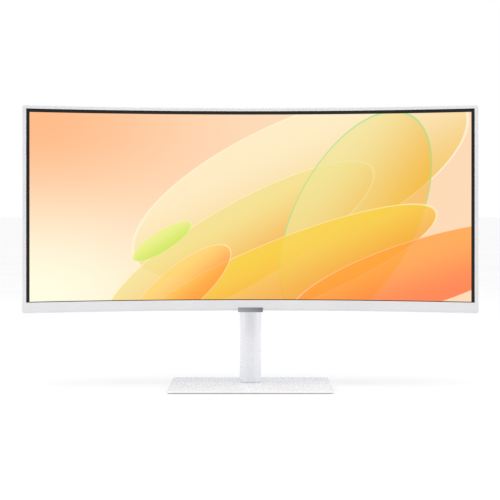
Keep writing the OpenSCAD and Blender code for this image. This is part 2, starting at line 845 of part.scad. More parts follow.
// Section of the bezel, up its height: the chin's lower front edge is round
function bezel_outline(inset) =
    let (front = inset - rim_lip, back = seam_depth + (inset > 0 ? over : 0), low = bottom_z + inset,
        r = chin_round - inset)
    concat(
        [[back, low]],
        arc_points(front + r, low + r, r, 270, 180, edge_steps),
        [[front, top_z - inset], [back, top_z - inset]]
    );

module bezel_body(inset) {
    half = half_w() - inset;
    difference() {
        intersection() {
            revolved(bezel_outline(inset), half_angle + 4);
            box(-half, half, screen_y - sag(half) - 10, screen_y + 20, bottom_z - over, top_z + over);
        }
        corner_cutters(half, bottom_z + inset, top_z - inset, corner_radius - inset,
            screen_y - sag(half) - 20, screen_y + 20);
    }
}

module front_bezel() {
    color("#eef0f3") difference() {
        bezel_body(0);
        bezel_body(bezel_wall);
        box(-window_half, window_half, curve_y, screen_y + 20, window_z, window_top);
        // room for the glass behind the chin's wall
        bent(-0.25, seam_depth - 0.5, window_half, window_z - cell_foot - 0.4, window_z + 5);
        // seat of the badge pod
        box(-pod_w / 2 - fit_gap, pod_w / 2 + fit_gap, screen_y - 5, screen_y + 20, bottom_z - over,
            bottom_z + pod_rise + fit_gap);
    }
}

module badge() {
    color("#a9abaf") {
        bent(-rim_lip - badge_t, -rim_lip, pod_w / 2, bottom_z - pod_drop, bottom_z + pod_rise, 0.6);
    }
}

module badge_pod() {
    low = bottom_z - pod_drop;
    high = bottom_z + pod_rise;
    front = -rim_lip + 0.05;
    hole_r = jog_d / 2 + 1.8;
    color("#d9dbde") difference() {
        union() {
            bent(front, pod_depth, pod_w / 2, low, bottom_z - 0.1, 0.6);
            bent(front, seam_depth - 0.2, pod_w / 2, low, high, 0.6);
        }
        // room for the jog button and its switch
        translate([0, screen_y + jog_depth, low - over]) cylinder(r = hole_r, h = 20);
        bent(front + pod_wall, seam_depth + over, pod_w / 2 - pod_wall, bottom_z + 0.6, high + over);
    }
}

// ---- Panel ----

module lcd_cell() {
    color("#101114") {
        bent(0, cell_thickness, window_half - cell_gap, window_z - cell_foot, window_top - cell_gap, 0.5);
    }
}

module optical_sheets() {
    count = 3;
    pitch = sheet_pack / count;
    color("#f4f6f8") for (i = [0:count - 1]) {
        bent(sheet_depth + i * pitch, sheet_depth + (i + 1) * pitch - 0.1, active_half + 1.5, active_z - 2,
            active_top + 2);
    }
}

module light_guide() {
    color("#dfeaf2") {
        bent(guide_depth, guide_depth + guide_t, active_half + 1.5, active_z - 2, active_top + 2);
    }
}

module reflector_sheet() {
    color("#ffffff") {
        bent(reflector_depth, reflector_depth + reflector_t, active_half + 1.5,
            active_z - 2, active_top + 2);
    }
}

led_count = 42;
module led_bar() {
    strip_half_x = active_half - 4;
    top = active_z - 2.6;
    color("#e8e2b8") {
        bent(guide_depth - 0.2, guide_depth + guide_t + 0.2, strip_half_x, top - 2.2, top - 1.2);
        for (i = [0:led_count - 1]) on_arc((i / (led_count - 1) - 0.5) * 2 * (half_angle - 1.2)) {
            box(-2, 2, guide_depth + 0.5, guide_depth + guide_t - 0.5, top - 1.4, top);
        }
    }
}

// Plastic frame round the sheets, which also carries the glass
module panel_frame() {
    inner = active_half + 2.2;
    color("#2b2d31") difference() {
        bent(bezel_wall - rim_lip + 0.1, tray_back, frame_half, frame_low, frame_high, 1.5);
        // pocket of the glass, then the wider room behind the ledge
        bent(-5, cell_thickness + 0.2, window_half + 0.1, tray_low - 0.2, window_top + 0.1);
        bent(-5, tray_back + over, inner, active_z - 2.5, active_top + 2.5);
        bent(guide_depth - 0.6, tray_back + over, window_half + 0.1, tray_low - 0.2, window_top + 0.1);
        // gap at the badge pod
        box(-pod_w / 2 - 1, pod_w / 2 + 1, screen_y - 5, screen_y + 30, bottom_z, jog_board_z + 2);
    }
}

module panel_chassis() {
    color("#b7bbc0") difference() {
        bent(tray_depth, tray_back, window_half - 0.6, tray_low, window_top - 0.6, 2);
        // gap at the jog switch
        box(-jog_board_half - 2, jog_board_half + 2, screen_y - 5, screen_y + 30, bottom_z, jog_board_z + 2);
        // pressed ribs are left as open slots beside the middle
        for (a = [-16, 16], z = [-90, 0, 90]) on_arc(a) {
            translate([0, tray_depth - 2, middle_z + z]) rotate([-90, 0, 0]) {
                linear_extrude(6) round_rect(60, 10, 4.9);
            }
        }
    }
}

// Driver boards in the chin with the film links that join them to the glass
module panel_drivers() {
    half = 38;
    depth = tray_back + 0.5;
    low = tray_low + 1;
    color("#2f6b46") for (a = [-15, -6, 6, 15]) on_arc(a) difference() {
        union() {
            box(-half, half, depth, depth + 1.2, low, low + 12);
            for (i = [-1:1]) box(i * 22 - 5, i * 22 + 5, depth + 1.1, depth + 2.2, low + 4, low + 7);
        }
        for (s = [-1, 1]) translate([s * (half - 4), depth - over, low + 9]) rotate([-90, 0, 0]) {
            cylinder(r = 1.3, h = 4);
        }
    }
}

// ---- Chassis, boards and sockets ----

bracket_half = 70;
bracket_places = [for (x = [-1, 1], z = [-1, 1]) [x * mount_pitch / 2, tilt_z + z * mount_pitch / 2]];
mount_hole_r = 2.05;
boss_r = 4.5;
boss_gap = 0.3;
boss_depth = 4;

module chassis_bracket() {
    color("#a4a8ad") difference() {
        union() {
            slab(bracket_half, tilt_z - bracket_half, tilt_z + bracket_half, 5,
                bracket_y, bracket_y + bracket_t);
            // threaded bosses, flush with the recess floor
            for (p = bracket_places) translate([p[0], bracket_y - boss_depth, p[1]]) rotate([-90, 0, 0]) {
                cylinder(r = boss_r, h = boss_depth + recess_y - bracket_y);
            }
            // legs down to the panel's tray
            for (x = [-1, 1], z = [-1, 1]) {
                leg = bracket_half - 8;
                translate([x * leg, screen_y, tilt_z + z * leg]) rotate([-90, 0, 0]) {
                    cylinder(r = 4, h = bracket_y - screen_y + 1);
                }
            }
        }
        for (p = bracket_places) translate([p[0], bracket_y - boss_depth - 1, p[1]]) rotate([-90, 0, 0]) {
            cylinder(r = mount_hole_r, h = 2 * boss_depth + cover_wall + bracket_t);
        }
        translate([0, curve_y, 0]) cylinder(r = screen_radius + tray_back + 0.15, h = 2 * top_z);
        for (s = [-1, 1]) translate([s * hook_x, 0, 0]) {
            box(-hook_w / 2 - 0.6, hook_w / 2 + 0.6, bracket_y - over, bracket_y + bracket_t + over,
                hook_z - 0.6, hook_z + 6.2);
        }
        box(-tooth_half - 0.6, tooth_half + 0.6, bracket_y - over, bracket_y + bracket_t + over,
            tooth_z - 0.4, tooth_z + tooth_h + latch_travel + 0.4);
    }
}

standoff_places = [for (x = [-1, 1], z = [0, 1]) [x * (board_w / 2 - 5), wall_z + 7 + z * (board_h - 14)]];

module board_sheet(angle) {
    on_arc(angle) difference() {
        union() {
            box(-board_w / 2, board_w / 2, board_depth, board_back, wall_z + 2, wall_z + 2 + board_h);
            // steel stand-offs
            for (p = standoff_places) translate([p[0], tray_back + 0.9, p[1]]) rotate([-90, 0, 0]) {
                cylinder(r = 2.6, h = board_depth - tray_back);
            }
        }
        for (p = standoff_places) translate([p[0], board_depth + 0.6, p[1]]) rotate([-90, 0, 0]) {
            cylinder(r = 1.3, h = 4);
        }
    }
}

module main_board() {
    color("#2a7a4b") {
        board_sheet(board_angle);
        on_arc(board_angle) {
            // processor with its finned heat sink, memory chips and plug headers
            box(-18, 14, board_back - 0.1, board_back + 2, wall_z + 48, wall_z + 80);
            for (i = [0:6]) {
                box(i * 4.6 - 17, i * 4.6 - 15.4, board_back + 1.9, board_back + 9,
                    wall_z + 49, wall_z + 79);
            }
            for (x = [24, 42]) box(x, x + 12, board_back - 0.1, board_back + 1.2, wall_z + 56, wall_z + 70);
            box(-62, -34, board_back - 0.1, board_back + 4, wall_z + 84, wall_z + 90);
        }
    }
}

module power_board() {
    color("#b58a3c") board_sheet(-board_angle);
}

module power_parts() {
    color("#3a3d42") on_arc(-board_angle) {
        // transformer, bulk capacitors, choke and the heat sink blade
        box(-20, 14, board_back + 0.05, board_back + 15, wall_z + 50, wall_z + 80);
        for (x = [28, 46, 64]) translate([x, board_back + 8.2, wall_z + 48]) cylinder(r = 8, h = 26);
        translate([-48, board_back + 0.05, wall_z + 66]) rotate([-90, 0, 0]) difference() {
            cylinder(r = 11, h = 12);
            translate([0, 0, -over]) cylinder(r = 4.5, h = 12 + 2 * over);
        }
        box(-68, 70, board_back + 0.05, board_back + 11, wall_z + 86, wall_z + 88);
    }
}

// Metal socket shell with its mouth facing down: a box with a cavity and a tongue
module socket_shell(x, w, t, deep, skin, tongue) {
    mouth = wall_z - cover_wall - 0.2;
    y0 = board_back + 0.1;
    box_h = deep + 3;
    translate([x, 0, 0]) {
        difference() {
            box(-w / 2, w / 2, y0, y0 + t, mouth, mouth + box_h);
            box(-w / 2 + skin, w / 2 - skin, y0 + skin, y0 + t - skin, mouth - over, mouth + deep);
        }
        if (tongue > 0) {
            box(-w / 2 + 2.2, w / 2 - 2.2, y0 + (t - tongue) / 2, y0 + (t + tongue) / 2, mouth + 1.5,
                mouth + deep + 1);
        }
    }
}

// Where each socket sits along the board, with its width and its height off the board
network_place = [-64, 16.4, 13.6];
video_places = [[-41, 15.4, 6], [-18, 17.4, 5.6]];
small_data_places = [[0, 9.4, 3.6], [15, 9.4, 3.6]];
large_data_places = [[32, 13.6, 6.2], [51, 13.6, 6.2]];
audio_place = [68, 8, 7];
inlet_place = [57, 27.4, 19.6];

module video_sockets() {
    color("#b9bcc0") on_arc(board_angle) for (p = video_places) socket_shell(p[0], p[1], p[2], 10, 0.5, 1.2);
}

module data_sockets() {
    color("#b9bcc0") on_arc(board_angle) {
        for (p = small_data_places) socket_shell(p[0], p[1], p[2], 8, 0.4, 0.7);
        for (p = large_data_places) socket_shell(p[0], p[1], p[2], 12, 0.5, 2);
    }
}

module network_socket() {
    color("#c9ccd0") on_arc(board_angle) {
        socket_shell(network_place[0], network_place[1], network_place[2], 14, 1.4, 0);
    }
}

audio_r = 1.8;
audio_deep = 14;
module audio_socket() {
    mouth = wall_z - cover_wall - 0.2;
    color("#26282b") on_arc(board_angle) translate([audio_place[0], 0, 0]) difference() {
        union() {
            box(-audio_place[1] / 2, audio_place[1] / 2, board_back + 0.1, board_back + audio_place[2],
                mouth + 2.6, mouth + audio_deep + 2);
            translate([0, board_back + audio_place[2] / 2, mouth]) cylinder(r = 3, h = 4);
        }
        translate([0, board_back + audio_place[2] / 2, mouth - over]) {
            cylinder(r = audio_r, h = audio_deep + over);
        }
    }
}

module power_inlet() {
    mouth = wall_z - cover_wall - 0.2;
    w = inlet_place[1];
    t = inlet_place[2];
    y0 = board_back + 0.1;
    deep = 16;
    color("#26282b") on_arc(-board_angle) translate([inlet_place[0], 0, 0]) {
        difference() {
            box(-w / 2, w / 2, y0, y0 + t, mouth, mouth + deep + 4);
            box(-w / 2 + 1.7, w / 2 - 1.7, y0 + 1.7, y0 + t - 1.7, mouth - over, mouth + deep);
        }
        // three flat pins
        for (p = [[-7, -2], [0, 2], [7, -2]]) translate([p[0], y0 + t / 2 + p[1], 0]) {
            box(-1, 1, -2, 2, mouth + 2, mouth + deep + 1);
        }
    }
}

speaker_angle = 15.3;
speaker_half = 25;
speaker_t = 13;
speaker_low = bottom_z + 40;
module speakers() {
    color("#26282b") for (s = [-1, 1]) on_arc(s * speaker_angle) {
        difference() {
            box(-speaker_half, speaker_half, tray_back + 1.2, tray_back + 1.2 + speaker_t, speaker_low,
                speaker_low + 24);
            translate([0, tray_back + 1.2 + speaker_t / 2, speaker_low - over]) {
                linear_extrude(over + 1.6) round_rect(36, 10, 4.9);
            }
        }
        translate([0, tray_back + 1.2 + speaker_t / 2, speaker_low + 0.6]) {
            linear_extrude(1.4) round_rect(34, 8.4, 4.1);
        }
    }
}

// ---- Jog button: it is pushed up and rocked two ways ----

jog_y = screen_y + jog_depth;

module jog_switch() {
    low = jog_pivot_z - 1.6;
    back = edge_depth - cover_wall - jog_depth - 0.4;
    color("#2f6b46") translate([0, jog_y, 0]) difference() {
        union() {
            box(-jog_board_half, jog_board_half, -3.9, back, jog_board_z, jog_board_z + 1.2);
            box(-4.3, 4.3, -4.2, 4.2, low, jog_board_z + 0.1);
        }
        translate([0, 0, low - over]) cylinder(r = jog_bore, h = 4.6 + over);
    }
}

// Slides up in the switch when the button is pushed
module jog_carrier() {
    low = jog_pivot_z - 1.4;
    high = jog_pivot_z + 2.2;
    color("#26282b") translate([0, jog_y, 0]) difference() {
        translate([0, 0, low]) cylinder(r = jog_bore - run_gap, h = high - low);
        translate([0, 0, low - over]) cylinder(r = jog_bore - 0.5, h = high - low + over - 0.6);
        bar_x(-5, 5, 0.45, 0, jog_pivot_z);
    }
}

module jog_rocker() {
    pin_end = jog_bore - run_gap - 0.05;
    color("#e9e6da") translate([0, jog_y, 0]) difference() {
        union() {
            ring(2.0, 3.0, jog_pivot_z - 0.8, jog_pivot_z + 0.8);
            for (s = [-1, 1]) bar_x(s > 0 ? 2.7 : -pin_end, s > 0 ? pin_end : -2.7, 0.4, 0, jog_pivot_z);
        }
        translate([0, -4, jog_pivot_z]) rotate([-90, 0, 0]) cylinder(r = 0.45, h = 8);
    }
}

module jog_cap() {
    color("#c9ccd0") translate([0, jog_y, 0]) {
        translate([0, 0, jog_low]) difference() {
            cylinder(r = jog_d / 2, h = 4.2);
            // thumb dish and hollow top
            translate([0, 0, -11.6]) sphere(r = 12);
            translate([0, 0, 3]) cylinder(r = jog_d / 2 - 1, h = 3);
        }
        // stem with its cross pin
        translate([0, 0, jog_low + 1]) cylinder(r = 1.1, h = jog_pivot_z + 0.9 - jog_low - 1);
        translate([0, -2.8, jog_pivot_z]) rotate([-90, 0, 0]) cylinder(r = 0.4, h = 5.6);
    }
}

// ---- Rear cover ----

slope_h = 66;
edge_round = 3.6;
// Outline of the thin skin: its rear edges are round
function skin_outline(inset) =
    let (low = bottom_z + inset, high = top_z - inset)
    let (back = edge_depth - inset, r = max(edge_round - inset, 0.5))
    concat(
        [[seam_depth + 0.2 - (inset > 0 ? 5 : 0), low]],
        arc_points(back - r, low + r, r, 270, 360, edge_steps),
        arc_points(back - r, high - r, r, 0, 90, edge_steps),
        [[seam_depth + 0.2 - (inset > 0 ? 5 : 0), high]]
    );
// Outline of the swelling that carries the boards: it eases out of the skin at top and bottom
function bulge_outline(inset) =
    let (
        low = bottom_z + 10 + inset, high = top_z - 12 - inset, steps = 12,
        base = edge_depth - 0.3 - inset, rise = bulge_depth + 1 - edge_depth
    )
    concat(
        [[seam_depth + 1, low]],
        [for (i = [0:steps]) [base + rise * ease(i / steps), low + slope_h * i / steps]],
        [for (i = [steps:-1:0]) [base + rise * ease(i / steps), high - slope_h * i / steps]],
        [[seam_depth + 1, high]]
    );
// Plan curve of the rear: one arc from the middle to near each side
flank_x = half_w() - 16;
flank_y = curve_y + sqrt(pow(screen_radius + edge_depth, 2) - flank_x * flank_x);
flank_drop = back_y - flank_y;
back_r = (flank_x * flank_x + flank_drop * flank_drop) / (2 * flank_drop);

module cover_body(inset) {
    sweep = half_angle + 6;
    half = half_w() - inset;
    difference() {
        intersection() {
            union() {
                revolved(skin_outline(inset), sweep);
                intersection() {
                    revolved(bulge_outline(inset), sweep);
                    translate([0, back_y - back_r, 0]) {
                        cylinder(r = back_r - inset, h = 2 * top_z, $fn = curve_fn);
                    }
                }
            }
            box(-half, half, curve_y, back_y + 5, bottom_z - over, top_z + over);
        }
        corner_cutters(half, bottom_z + inset, top_z - inset, corner_radius - inset, curve_y, back_y + 10);
    }
}

module recess_block(grow) {
    slab(recess_w / 2 + grow, tilt_z - recess_w / 2 - grow, tilt_z + recess_w / 2 + grow, 8 + grow,
        recess_y - grow, back_y + 20);
}

module notch_block(angle, grow) {
    on_arc(angle) box(-notch_half - grow, notch_half + grow, notch_depth - grow, bulge_depth + 40,
        notch_low - grow, wall_z - cover_wall + grow);
}

module socket_cut(p, extra) {
    box(p[0] - p[1] / 2 - extra, p[0] + p[1] / 2 + extra,
        board_back - extra, board_back + p[2] + extra + 0.2,
        wall_z - cover_wall - over, wall_z + over);
}

module rear_cover() {
    color("#eef0f3") difference() {
        cover_body(0);
        difference() {
            cover_body(cover_wall);
            recess_block(cover_wall);
            for (s = [-1, 1]) notch_block(s * board_angle, cover_wall);
        }
        recess_block(0);
        for (s = [-1, 1]) notch_block(s * board_angle, 0);
        // holes round the wall-mount bosses, hook slots and latch slot in the recess floor
        for (p = bracket_places) translate([p[0], recess_y - cover_wall - over, p[1]]) rotate([-90, 0, 0]) {
            cylinder(r = boss_r + boss_gap, h = cover_wall + 2 * over);
        }
        for (s = [-1, 1]) translate([s * hook_x, 0, 0]) {
            box(-hook_w / 2 - 0.6, hook_w / 2 + 0.6, recess_y - cover_wall - over, recess_y + over,
                hook_z - 0.6, hook_z + 6.2);
        }
        box(-tooth_half - 0.6, tooth_half + 0.6, recess_y - cover_wall - over, recess_y + over,
            tooth_z - 0.4, tooth_z + tooth_h + latch_travel + 0.4);
        // socket mouths in the notch ceilings
        on_arc(board_angle) {
            for (p = concat(video_places, small_data_places, large_data_places, [network_place])) {
                socket_cut(p, 0.3);
            }
            translate([audio_place[0], board_back + audio_place[2] / 2, wall_z - cover_wall - over]) {
                cylinder(r = 3.3, h = cover_wall + 2 * over);
            }
        }
        on_arc(-board_angle) socket_cut(inlet_place, 0.3);
        // vents in the upper slope
        for (i = [-22:22]) on_arc(i * 0.62) {
            box(-1.4, 1.4, edge_depth + 3, bulge_depth + 10, top_z - 62, top_z - 38);
        }
        // speaker slots in the lower slope
        for (s = [-1, 1], i = [-7:7]) on_arc(s * speaker_angle + i * 0.3) {
            box(-1, 1, edge_depth - 1, bulge_depth, bottom_z + 22, bottom_z + 34);
        }
        // lock slot
        on_arc(-19.5) box(-3.6, 3.6, edge_depth, bulge_depth, middle_z - 62, middle_z - 58.8);
        // gap over the badge pod
        translate([0, screen_y + jog_depth, bottom_z - over]) {
            cylinder(r = jog_d / 2 + 1.8, h = cover_wall + 2 * over);
        }
    }
}

base_plate();
rubber_feet();
swivel_hub();
hub_screws();
swivel_washers();
swivel_nut();
outer_column();
column_socket();
swivel_bush();
socket_screws();
column_collar();
spring_post();
spring_anchor();
lift_spring_strip();
cable_clip();
mast_tube();
mast_glide();
spring_cradle();
drum_axle();
mast_head();
mast_head_cap();
spring_drum();
lift_spring_coil();
tilt_shaft();
tilt_friction_washers();
tilt_disc_springs();
tilt_nut();
hinge_bracket();
mount_plate();
mount_screws();
mount_cover();
release_button();
release_latch();
release_spring();
front_bezel();
badge();
badge_pod();
lcd_cell();
optical_sheets();
light_guide();
reflector_sheet();
led_bar();
panel_frame();
panel_chassis();
panel_drivers();
chassis_bracket();
main_board();
power_board();
power_parts();
video_sockets();
data_sockets();
network_socket();
audio_socket();
power_inlet();
speakers();
jog_switch();
jog_carrier();
jog_rocker();
jog_cap();
rear_cover();
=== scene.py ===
"""Looks of a curved wide computer monitor on a round telescopic stand.

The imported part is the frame: every piece below takes its place from it. Lengths are in metres, +Z is up,
the screen faces -Y and the desk is the plane z = 0.
"""
import json
import math

import bmesh
import bpy
from bpy.props import FloatProperty, FloatVectorProperty, PointerProperty
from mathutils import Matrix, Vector


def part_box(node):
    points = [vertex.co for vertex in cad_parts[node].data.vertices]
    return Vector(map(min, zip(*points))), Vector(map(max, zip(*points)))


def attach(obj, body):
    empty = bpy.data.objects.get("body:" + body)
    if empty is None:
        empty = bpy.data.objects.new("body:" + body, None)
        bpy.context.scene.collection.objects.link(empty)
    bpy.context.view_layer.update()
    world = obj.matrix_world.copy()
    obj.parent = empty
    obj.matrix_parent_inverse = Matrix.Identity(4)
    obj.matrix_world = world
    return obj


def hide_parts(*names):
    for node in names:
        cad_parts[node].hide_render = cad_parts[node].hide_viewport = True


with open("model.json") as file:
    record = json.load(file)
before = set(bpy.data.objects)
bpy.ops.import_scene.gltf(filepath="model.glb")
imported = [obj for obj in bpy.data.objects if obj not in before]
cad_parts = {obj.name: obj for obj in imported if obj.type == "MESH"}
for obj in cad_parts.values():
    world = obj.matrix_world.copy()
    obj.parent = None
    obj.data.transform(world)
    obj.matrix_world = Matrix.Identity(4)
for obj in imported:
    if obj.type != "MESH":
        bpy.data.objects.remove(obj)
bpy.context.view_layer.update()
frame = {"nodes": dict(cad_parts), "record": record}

bl_info = {
    "name": "Curved Desk Monitor",
    "version": (1, 0, 0),
    "blender": (4, 5, 0),
    "location": "3D View > Sidebar > Monitor",
    "description": "Pieces, finishes and studio of a curved monitor on a telescopic stand",
    "category": "Object",
}

MM = 0.001
NEAR = 0.02 * MM
NODES = frame["nodes"]
SLOT_OF = {part["node"]: part["material_slot"] for part in frame["record"]["subparts"]}


def linear(hex_colour):
    """Turns an sRGB hex colour into the linear RGBA that the sockets take."""
    channels = [int(hex_colour[i:i + 2], 16) / 255 for i in (1, 3, 5)]
    return [c / 12.92 if c <= 0.04045 else ((c + 0.055) / 1.055) ** 2.4 for c in channels] + [1.0]


# ---- What a user would change ----


def length(name, description, default):
    """A length of a piece, in metres."""
    return FloatProperty(name=name, description=description, default=default, min=0, precision=5,
                         subtype="DISTANCE", unit="LENGTH")


def colour(name, description, default):
    """A finish's colour, given as sRGB hex."""
    return FloatVectorProperty(name=name, description=description, default=linear(default), size=4,
                               min=0, max=1, subtype="COLOR")


class MonitorSizes(bpy.types.PropertyGroup):
    """Sizes of the visible pieces that the frame's boxes don't give"""

    curve_radius: length("Curve radius", "Radius of the screen's curve, seen from above", 1.0)
    picture_arc: length("Picture width", "Width of the lit picture along the curve", 797.2 * MM)
    picture_height: length("Picture height", "Height of the lit picture", 333.7 * MM)
    border_top: length("Top border", "Black border of the glass above the picture", 6 * MM)
    border_bottom: length("Bottom border", "Black line between picture and chin", 1.3 * MM)
    glass_thickness: length("Glass thickness", "Thickness of the liquid-crystal cell", 1.3 * MM)
    glass_gap: length("Glass gap", "Gap between the glass's edge and the bezel's window", 0.45 * MM)
    glass_foot: length("Glass foot", "Reach of the glass behind the chin", 10 * MM)
    rim_side: length("Side rim", "Width of the white rim at each side", 6.35 * MM)
    rim_lip: length("Rim lip", "How far the rim stands in front of the glass", 1.3 * MM)
    rim_round: length("Rim round", "Round of the rim's outer front edge", 1.2 * MM)
    window_round: length("Window round", "Round of the rim's edge at the glass", 0.35 * MM)
    chin_height: length("Chin height", "Height of the chin below the black line", 19 * MM)
    chin_round: length("Chin round", "Round of the chin's lower front edge", 4.6 * MM)
    corner_round: length("Corner radius", "Corner radius of the housing from the front", 4 * MM)
    seam_depth: length("Seam depth", "Depth behind the glass of the seam with the rear cover", 5 * MM)
    bezel_wall: length("Bezel wall", "Wall of the bezel's moulding", 1.1 * MM)
    window_wall: length("Window wall", "Depth of the bezel's wall at the glass", 3 * MM)
    base_corner: length("Base corner", "Corner radius of the base plate", 8 * MM)
    base_rim: length("Base rim", "Round of the base plate's rims", 0.5 * MM)
    badge_thickness: length("Badge thickness", "Thickness of the blank badge", 0.8 * MM)


class MonitorColours(bpy.types.PropertyGroup):
    """Colours of the finishes"""

    housing: colour("Housing", "White of the moulded housing", "#d9dadd")
    housing_shade: colour("Housing shade", "The moulding's slightly darker flow patches", "#d4d5d9")
    powder: colour("Powder coat", "White of the powder-coated base and column", "#ecedf0")
    powder_shade: colour("Powder coat shade", "Thinner patches of the powder coat", "#e6e7eb")
    casting: colour("Casting", "White of the painted castings", "#e4e6e9")
    # trim and trim_shade are one anodised colour, lit and shaded: the badge is painted from one to the
    # other as painted shade
    trim: colour("Trim", "Anodised trim in the light", "#a0a2a6")
    trim_shade: colour("Trim shade", "Anodised trim turned from the light", "#7b7d82")
    grey_plastic: colour("Grey plastic", "Controls and collar", "#c9cbcf")
    border_ink: colour("Border ink", "Black ink behind the glass's edge", "#0b0a09")
    rubber: colour("Rubber", "Feet of the base", "#4b4d51")
    floor: colour("Floor", "Studio floor", "#f6f6f7")
    picture_warm: colour("Picture warm", "Picture's upper left", "#ffb985")
    picture_cream: colour("Picture cream", "Picture's lower left", "#fffbe0")
    picture_peach: colour("Picture peach", "Picture's right side", "#fbd8b4")


def sizes():
    return bpy.context.scene.monitor_sizes


def colours():
    return bpy.context.scene.monitor_colours


# ---- Places worked out from the frame ----


class Layout:
    """Places of the housing and the stand, from the frame's boxes and the sizes above."""

    def __init__(self):
        size = sizes()
        housing_low, housing_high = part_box("rear_cover")
        base_low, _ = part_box("base_plate")
        self.radius = size.curve_radius
        self.half = housing_high.x
        self.bottom = housing_low.z
        self.top = housing_high.z
        # the rim's front corners stand above the base plate's front edge, half a millimetre behind it
        sag = self.radius - math.sqrt(self.radius ** 2 - self.half ** 2)
        self.glass_y = base_low.y + sag + size.rim_lip + 0.5 * MM
        self.axis_y = self.glass_y - self.radius
        self.window_low = self.bottom + size.chin_height
        self.picture_low = self.window_low + size.border_bottom
        self.picture_high = self.picture_low + size.picture_height
        self.window_high = self.picture_high + size.border_top
        self.window_half = self.half - size.rim_side

    def depth(self, point):
        """Depth of a point behind the glass's front, measured from the curve's axis."""
        return math.hypot(point.x, point.y - self.axis_y) - self.radius


# ---- Modelling steps ----


def start():
    """Leaves nothing selected, so that the next primitive is alone."""
    bpy.ops.object.select_all(action="DESELECT")


def open_piece(name, scale=(1, 1, 1)):
    """Names and scales the primitive just added, moves its place into its mesh and opens it."""
    piece = bpy.context.active_object
    piece.name = name
    piece.data.name = name
    piece.scale = scale
    bpy.ops.object.transform_apply(location=True, rotation=True, scale=True)
    bpy.ops.object.mode_set(mode="EDIT")
    return piece


def pick(kind, test):
    """Selects the vertices, edges or faces of the open mesh that pass a test."""
    piece = bpy.context.edit_object
    bpy.ops.mesh.select_mode(type=kind)
    bpy.ops.mesh.select_all(action="DESELECT")
    mesh = bmesh.from_edit_mesh(piece.data)
    parts = {"VERT": mesh.verts, "EDGE": mesh.edges, "FACE": mesh.faces}[kind]
    chosen = [part for part in parts if test(part)]
    if not chosen:
        raise RuntimeError(f"{piece.name}: no {kind.lower()} passes the test")
    for part in chosen:
        part.select_set(True)
    bmesh.update_edit_mesh(piece.data)


def both(test):
    """An edge or face test that asks the same of all its corners."""
    return lambda part: all(test(corner.co) for corner in part.verts)


def select_all():
    bpy.ops.mesh.select_all(action="SELECT")


def bisect(place, normal, clear=False):
    """Cuts the open mesh along a plane, and takes away and closes what lies beyond it if asked."""
    select_all()
    bpy.ops.mesh.bisect(plane_co=place, plane_no=normal, use_fill=clear, clear_outer=clear)


def close_piece():
    """Merges doubles, turns the faces outwards and leaves edit mode."""
    select_all()
    bpy.ops.mesh.remove_doubles(threshold=NEAR / 4)
    bpy.ops.mesh.normals_make_consistent(inside=False)
    bpy.ops.object.mode_set(mode="OBJECT")


def apply_modifier(piece, kind, **settings):
    """Adds a modifier with its settings and applies it."""
    start()
    piece.select_set(True)
    bpy.context.view_layer.objects.active = piece
    modifier = piece.modifiers.new(kind.title(), kind)
    for name, value in settings.items():
        setattr(modifier, name, value)
    bpy.ops.object.modifier_apply(modifier=modifier.name)


def reopen(piece):
    start()
    piece.select_set(True)
    bpy.context.view_layer.objects.active = piece
    bpy.ops.object.mode_set(mode="EDIT")


def cut(piece, cutter):
    """Takes a cutter's shape out of a piece."""
    apply_modifier(piece, "BOOLEAN", object=cutter, operation="DIFFERENCE", solver="EXACT")
    bpy.data.objects.remove(cutter)


def add_block(name, low, high):
    """Opens a cube primitive that fills the box between two corners."""
    start()
    low, high = Vector(low), Vector(high)
    bpy.ops.mesh.primitive_cube_add(size=1, location=(low + high) / 2)
    return open_piece(name, high - low)


def add_rod(name, place, radius, length, axis="Z", sides=96):
    """Opens a cylinder primitive that starts at a place and runs along an axis."""
    start()
    turn = {"Z": (0, 0, 0), "Y": (-math.pi / 2, 0, 0), "X": (0, math.pi / 2, 0)}[axis]
    along = {"Z": Vector((0, 0, 1)), "Y": Vector((0, 1, 0)), "X": Vector((1, 0, 0))}[axis]
    bpy.ops.mesh.primitive_cylinder_add(vertices=sides, radius=radius, depth=length, rotation=turn,
                                        location=Vector(place) + along * length / 2)
    return open_piece(name)


def soften(width, segments=3):
    """Rounds the selected edges of the open mesh."""
    bpy.ops.mesh.bevel(offset=width, segments=segments, profile=0.5, affect="EDGES")


def rounded_block(name, low, high, corner, rim, axis=2):
    """A block whose edges along one axis have a big round, and whose rims have a small one."""
    piece = add_block(name, low, high)
    others = [i for i in range(3) if i != axis]
    pick("EDGE", lambda e: all(abs(e.verts[0].co[i] - e.verts[1].co[i]) < NEAR for i in others))
    soften(corner, 8)
    ends = (low[axis], high[axis])
    if rim:
        pick("EDGE", lambda e: any(all(abs(v.co[axis] - end) < NEAR for v in e.verts) for end in ends))
        soften(rim)
    close_piece()
    return piece


def curved_plate(name, near, far, low, high, half, place, step=0.5, chin=0):
    """A closed plate bent round the screen's axis between two depths, cut off at both sides.

    Half of it is spun from a rectangle at the middle, and mirrored. Its lower front edge can be rounded.
    """
    start()
    bpy.ops.mesh.primitive_plane_add(size=1, rotation=(0, math.pi / 2, 0),
                                     location=(0, place.glass_y + (near + far) / 2, (low + high) / 2))
    piece = open_piece(name, (high - low, far - near, 1))
    if chin:
        pick("VERT", lambda v: v.co.z < low + NEAR and v.co.y < place.glass_y + near + NEAR)
        bpy.ops.mesh.bevel(offset=chin, segments=8, affect="VERTICES")
    select_all()
    bpy.ops.mesh.delete(type="ONLY_FACE")
    select_all()
    sweep = math.degrees(math.asin(half / (place.radius + near))) + step
    bpy.ops.mesh.spin(steps=math.ceil(sweep / step), angle=math.radians(sweep),
                      center=(0, place.axis_y, 0), axis=(0, 0, 1))
    bisect((half, 0, 0), (1, 0, 0), clear=True)
    close_piece()
    apply_modifier(piece, "MIRROR", use_axis=(True, False, False), merge_threshold=NEAR)
    return piece


